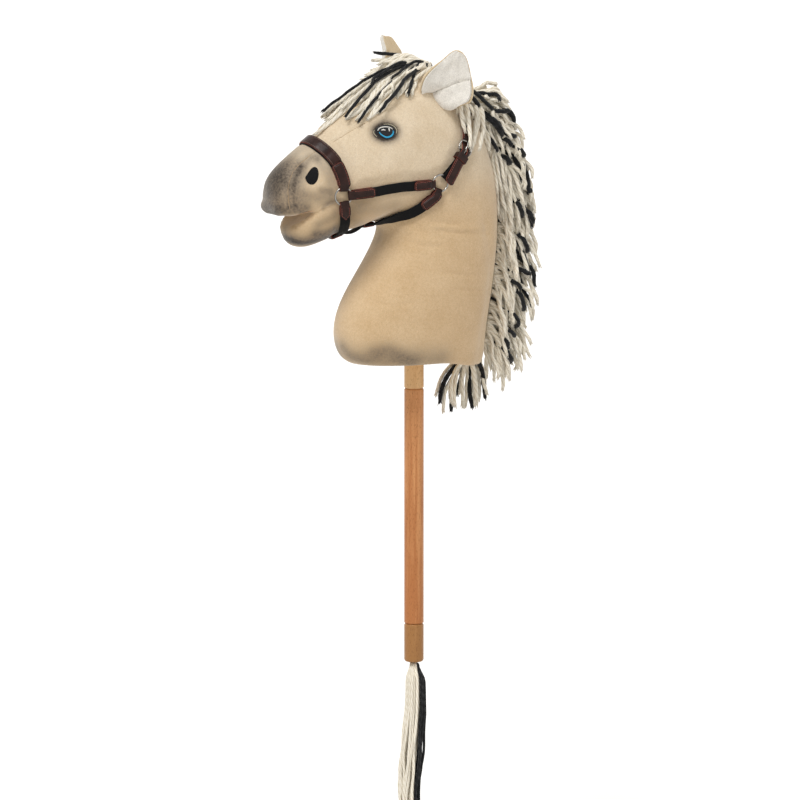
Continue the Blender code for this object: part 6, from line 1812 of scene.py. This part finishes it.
near_tips = seen(((411, 94), (406, 95), (399, 99)))[0]
forelock = np.vstack([forelock, laid_paths(near_roots, near_tips, np.array((0.0035, 0.0040, 0.0060)), 0.002,
                                           0.001)])
dark_tips = np.vstack([seen(BLACK_TIPS)[0], on_skin(np.array(FAR_TIPS)[::3])[0]])
dark_roots = FORELOCK_ROOT + chance.uniform(-1, 1, (len(dark_tips), 3)) * (0.009, 0.007, 0.002)
dark_roots += (0.003, 0.002, 0.001)
dark_heights = np.array((*DARK_HEIGHTS, *chance.uniform(0.008, 0.013, len(dark_tips) - len(DARK_HEIGHTS))))
dark_forelock = laid_paths(dark_roots, dark_tips, dark_heights, 0.013, 0.0022)
stray_root, stray_tip = np.array(((-0.020, -0.012, 0.4350), (-0.020, -0.049, 0.4400)))[:, None]
stray = laid_paths(stray_root, stray_tip, np.array((0.008,)), 0.001, 0.0007)
dark_forelock = np.vstack([dark_forelock, stray])
yarn_piece("forelock_yarn_white", "head", "white_yarn", "forelock_white", forelock, FORELOCK_YARN,
           WHITE_YARN)
yarn_piece("forelock_yarn_black", "head", "black_yarn", "forelock_black", dark_forelock,
           FORELOCK_YARN * 0.9, BLACK_YARN)
print("forelock strands:", len(forelock) + len(dark_forelock))

# %% [markdown]
# ## Side locks and the tuft
# A lock behind each ear falls on the crown strap, and a tuft splays below the neck where the tape ends. They
# join the mane's strands, so that each colour and side is one piece.

# %% Side locks and the tuft below the neck
LOCK_ROOTS = ((449.5, 99), (455, 99), (460, 98), (465, 96), (470, 92), (475, 88))
LOCK_TIPS = ((453, 113), (454.5, 121.5), (458, 130), (461.5, 137), (463, 146), (467, 149), (471, 147),
             (476, 137), (480, 134), (463, 124), (468, 132), (474, 130), (480, 127), (470, 122), (486, 122),
             (468, 141))
lock_tips = seen(jittered(LOCK_TIPS, 0.6))[0]
lock_roots = seen(np.array(LOCK_ROOTS, float)[np.linspace(0, 5, len(LOCK_TIPS)).astype(int)])[0]
order = np.argsort(lock_tips[:, 1])
lock_heights = 0.0065 + 0.0110 * chance.uniform(0, 1, len(lock_tips))
lock = laid_paths(lock_roots, lock_tips[order], lock_heights, 0.004, 0.0015)
locks = np.vstack([lock, lock * OTHER_SIDE])

TUFT_WHITE, TUFT_BLACK = 17, 6
TUFT_ROOTS, TUFT_FAN, TUFT_LOW = (0.078, 0.100), (0.042, 0.124), (-0.074, -0.046)


def tuft_paths(count):
    """y from root to fan as 1 - (1 - t)^1.9, z from root to tip as t^1.35: strands that splay, then fall."""
    t = np.linspace(0, 1, STRAND_STEPS)[None, :]
    share = ((np.arange(count) + chance.uniform(0.1, 0.9, count)) / count)[:, None]
    start_y = TUFT_ROOTS[0] + (TUFT_ROOTS[1] - TUFT_ROOTS[0]) * share
    end_y = TUFT_FAN[0] + (TUFT_FAN[1] - TUFT_FAN[0]) * share
    start_x, end_x = chance.uniform(-0.009, 0.009, (count, 1)), chance.uniform(-0.022, 0.022, (count, 1))
    low = chance.uniform(*TUFT_LOW, (count, 1))
    paths = np.stack([start_x + (end_x - start_x) * t, start_y + (end_y - start_y) * (1 - (1 - t) ** 1.9),
                      -0.006 + low * t ** 1.35], -1)
    return paths + waves(count, STRAND_STEPS, 0.0012, 1.0)


white_all = np.vstack([white_paths, locks, tuft_paths(TUFT_WHITE)])
for side, sign in (("left", 1), ("right", -1)):
    chosen = white_all[white_all[:, -1, 0] * sign > 0]
    yarn_piece(f"mane_yarn_white_{side}", "head", "white_yarn", f"mane_white_{side}", chosen, YARN,
               WHITE_YARN)
black_all = np.vstack([black_paths, tuft_paths(TUFT_BLACK)])
yarn_piece("mane_yarn_black", "head", "black_yarn", "mane_black", black_all, YARN * 1.15, BLACK_YARN)
print("all strands of the mane:", len(white_all) + len(black_all))

# %% [markdown]
# ## The tail
# The tail is a bunch of thinner yarn, bound and glued in the stick's cap. It hangs straight at first, then
# drifts a little forward. Sunflower spacing, a turn of the golden angle from strand to strand, packs the
# bunch. Its black strands lie together on one side.

# %% The tail
TAIL_TOP, TAIL_LENGTH, TAIL_HALF, TAIL_DRIFT = -0.4393, 0.292, 0.0118, 0.010
TAIL_STRANDS, TAIL_STEPS = 40, 56
# The bunch's top is a dome round its pivot, so that it swings clear of the cap
TAIL_DOME, TAIL_NECK = 0.0120, 0.42
GOLDEN = math.pi * (3 - math.sqrt(5))
BLACK_SIDE = math.radians(52.0)


def tail_paths(angle, radius, length):
    """R(t) (cos a, sin a) across, down L t from the dome, drifting -D sin(pi max(0, t - 0.25)) along Y.

    R = r n (1 + 0.25 sin(pi t)), where n grows from TAIL_NECK to 1 in the first 9% of the length."""
    t = np.linspace(0, 1, TAIL_STEPS)[None, :, None]
    angle, radius, length = angle[:, None, None], radius[:, None, None], length[:, None, None]
    spread = radius * (TAIL_NECK + (1 - TAIL_NECK) * eased(t, 0.0, 0.09)) * (1 + 0.25 * np.sin(math.pi * t))
    top = TAIL_TOP - TAIL_DOME + np.sqrt(TAIL_DOME ** 2 - (TAIL_NECK * radius + 0.6 * TAIL_YARN) ** 2)
    drift = -TAIL_DRIFT * np.sin(math.pi * np.maximum(0, t - 0.25))
    paths = np.concatenate([spread * np.cos(angle), spread * np.sin(angle) + drift, top - length * t], 2)
    return paths + waves(len(angle), TAIL_STEPS, 0.0022, 2.2) * (1, 1, 0)


n = np.arange(TAIL_STRANDS)
radius = TAIL_HALF * np.sqrt((n + 0.5) / TAIL_STRANDS)
angle = n * GOLDEN
gap = np.abs((angle - BLACK_SIDE + math.pi) % (2 * math.pi) - math.pi)
white = (gap > 0.5) | (radius < 0.6 * TAIL_HALF)
length = TAIL_LENGTH * chance.uniform(0.93, 1.0, TAIL_STRANDS)
tail = tail_paths(angle[white], radius[white], length[white])
yarn_piece("tail_yarn_white", "tail", "white_yarn", "tail_white", tail, TAIL_YARN, WHITE_YARN)
dark_angle = BLACK_SIDE + np.array((-0.45, -0.22, 0.0, 0.22, 0.45, -0.1, 0.12))
dark_radius = TAIL_HALF * np.array((0.95, 1.08, 1.2, 1.08, 0.95, 0.85, 0.85))
dark_length = TAIL_LENGTH * chance.uniform(0.92, 0.99, len(dark_angle))
tail = tail_paths(dark_angle, dark_radius, dark_length)
yarn_piece("tail_yarn_black", "tail", "black_yarn", "tail_black", tail, TAIL_YARN, BLACK_YARN)
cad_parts["tail_root"].data.materials.clear()
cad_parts["tail_root"].data.materials.append(WHITE_YARN)
print("tail strands:", int(white.sum()) + len(dark_angle))

# %% [markdown]
# ## The stick
# The head's dowel, the main stick and its cap are turned beech and keep the solids' shape, with softened
# edges. The stud that joins them is a threaded rod: its radius follows the angle and the height, a triangle
# wave of 1.25 mm pitch, which makes the thread out of one formula.

# %% Stick, stud and insert
STUD_RADIUS, THREAD_DEPTH, PITCH, THREAD_COLUMNS = 0.0040, 0.00068, 0.00125, 36
for node, body, finish, slot in (("upper_dowel", "head", PALE_BEECH, "pale_beech"),
                                 ("main_stick", "stick", RED_BEECH, "red_beech"),
                                 ("end_cap", "stick", CAP_BEECH, "cap_beech"),
                                 ("threaded_insert", "stick", BRASS, "brass")):
    dressed(node, body, finish, bevel=0.0003, sharp=35.0)

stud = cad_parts["joining_stud"]
stud_z = np.array([v.co.z for v in stud.data.vertices])
rows_up = round((stud_z.max() - stud_z.min()) / PITCH * 10)
z = np.linspace(stud_z.min(), stud_z.max(), rows_up)[:, None]
a = np.linspace(0, 2 * math.pi, THREAD_COLUMNS, endpoint=False)
wave = np.abs(((z / PITCH - a / (2 * math.pi)) % 1) * 2 - 1)
taper = eased(z, z[0, 0], z[0, 0] + PITCH) * (1 - eased(z, z[-1, 0] - PITCH, z[-1, 0]))
radius = STUD_RADIUS - THREAD_DEPTH * (1 - wave * taper)
points = np.stack([radius * np.cos(a), radius * np.sin(a), z + 0 * a], -1).reshape(-1, 3)
points = np.vstack([points, (0, 0, z[0, 0]), (0, 0, z[-1, 0])])
i, j = (k.ravel() for k in np.meshgrid(np.arange(rows_up - 1), np.arange(THREAD_COLUMNS), indexing="ij"))
n = (j + 1) % THREAD_COLUMNS
below, above = i * THREAD_COLUMNS, (i + 1) * THREAD_COLUMNS
quads = np.stack([below + j, below + n, above + n, above + j], 1)
j = np.arange(THREAD_COLUMNS)
n, top, last = (j + 1) % THREAD_COLUMNS, (rows_up - 1) * THREAD_COLUMNS, len(points) - 2
triangles = np.concatenate([np.stack([np.full(THREAD_COLUMNS, last), n, j], 1),
                            np.stack([np.full(THREAD_COLUMNS, last + 1), top + j, top + n], 1)])
rod = new_piece("threaded_stud", "stud", points, quads, triangles, (ZINC_STEEL,))
put(rod, "steel", "joining_stud")
print("thread turns:", round((stud_z.max() - stud_z.min()) / PITCH, 1))
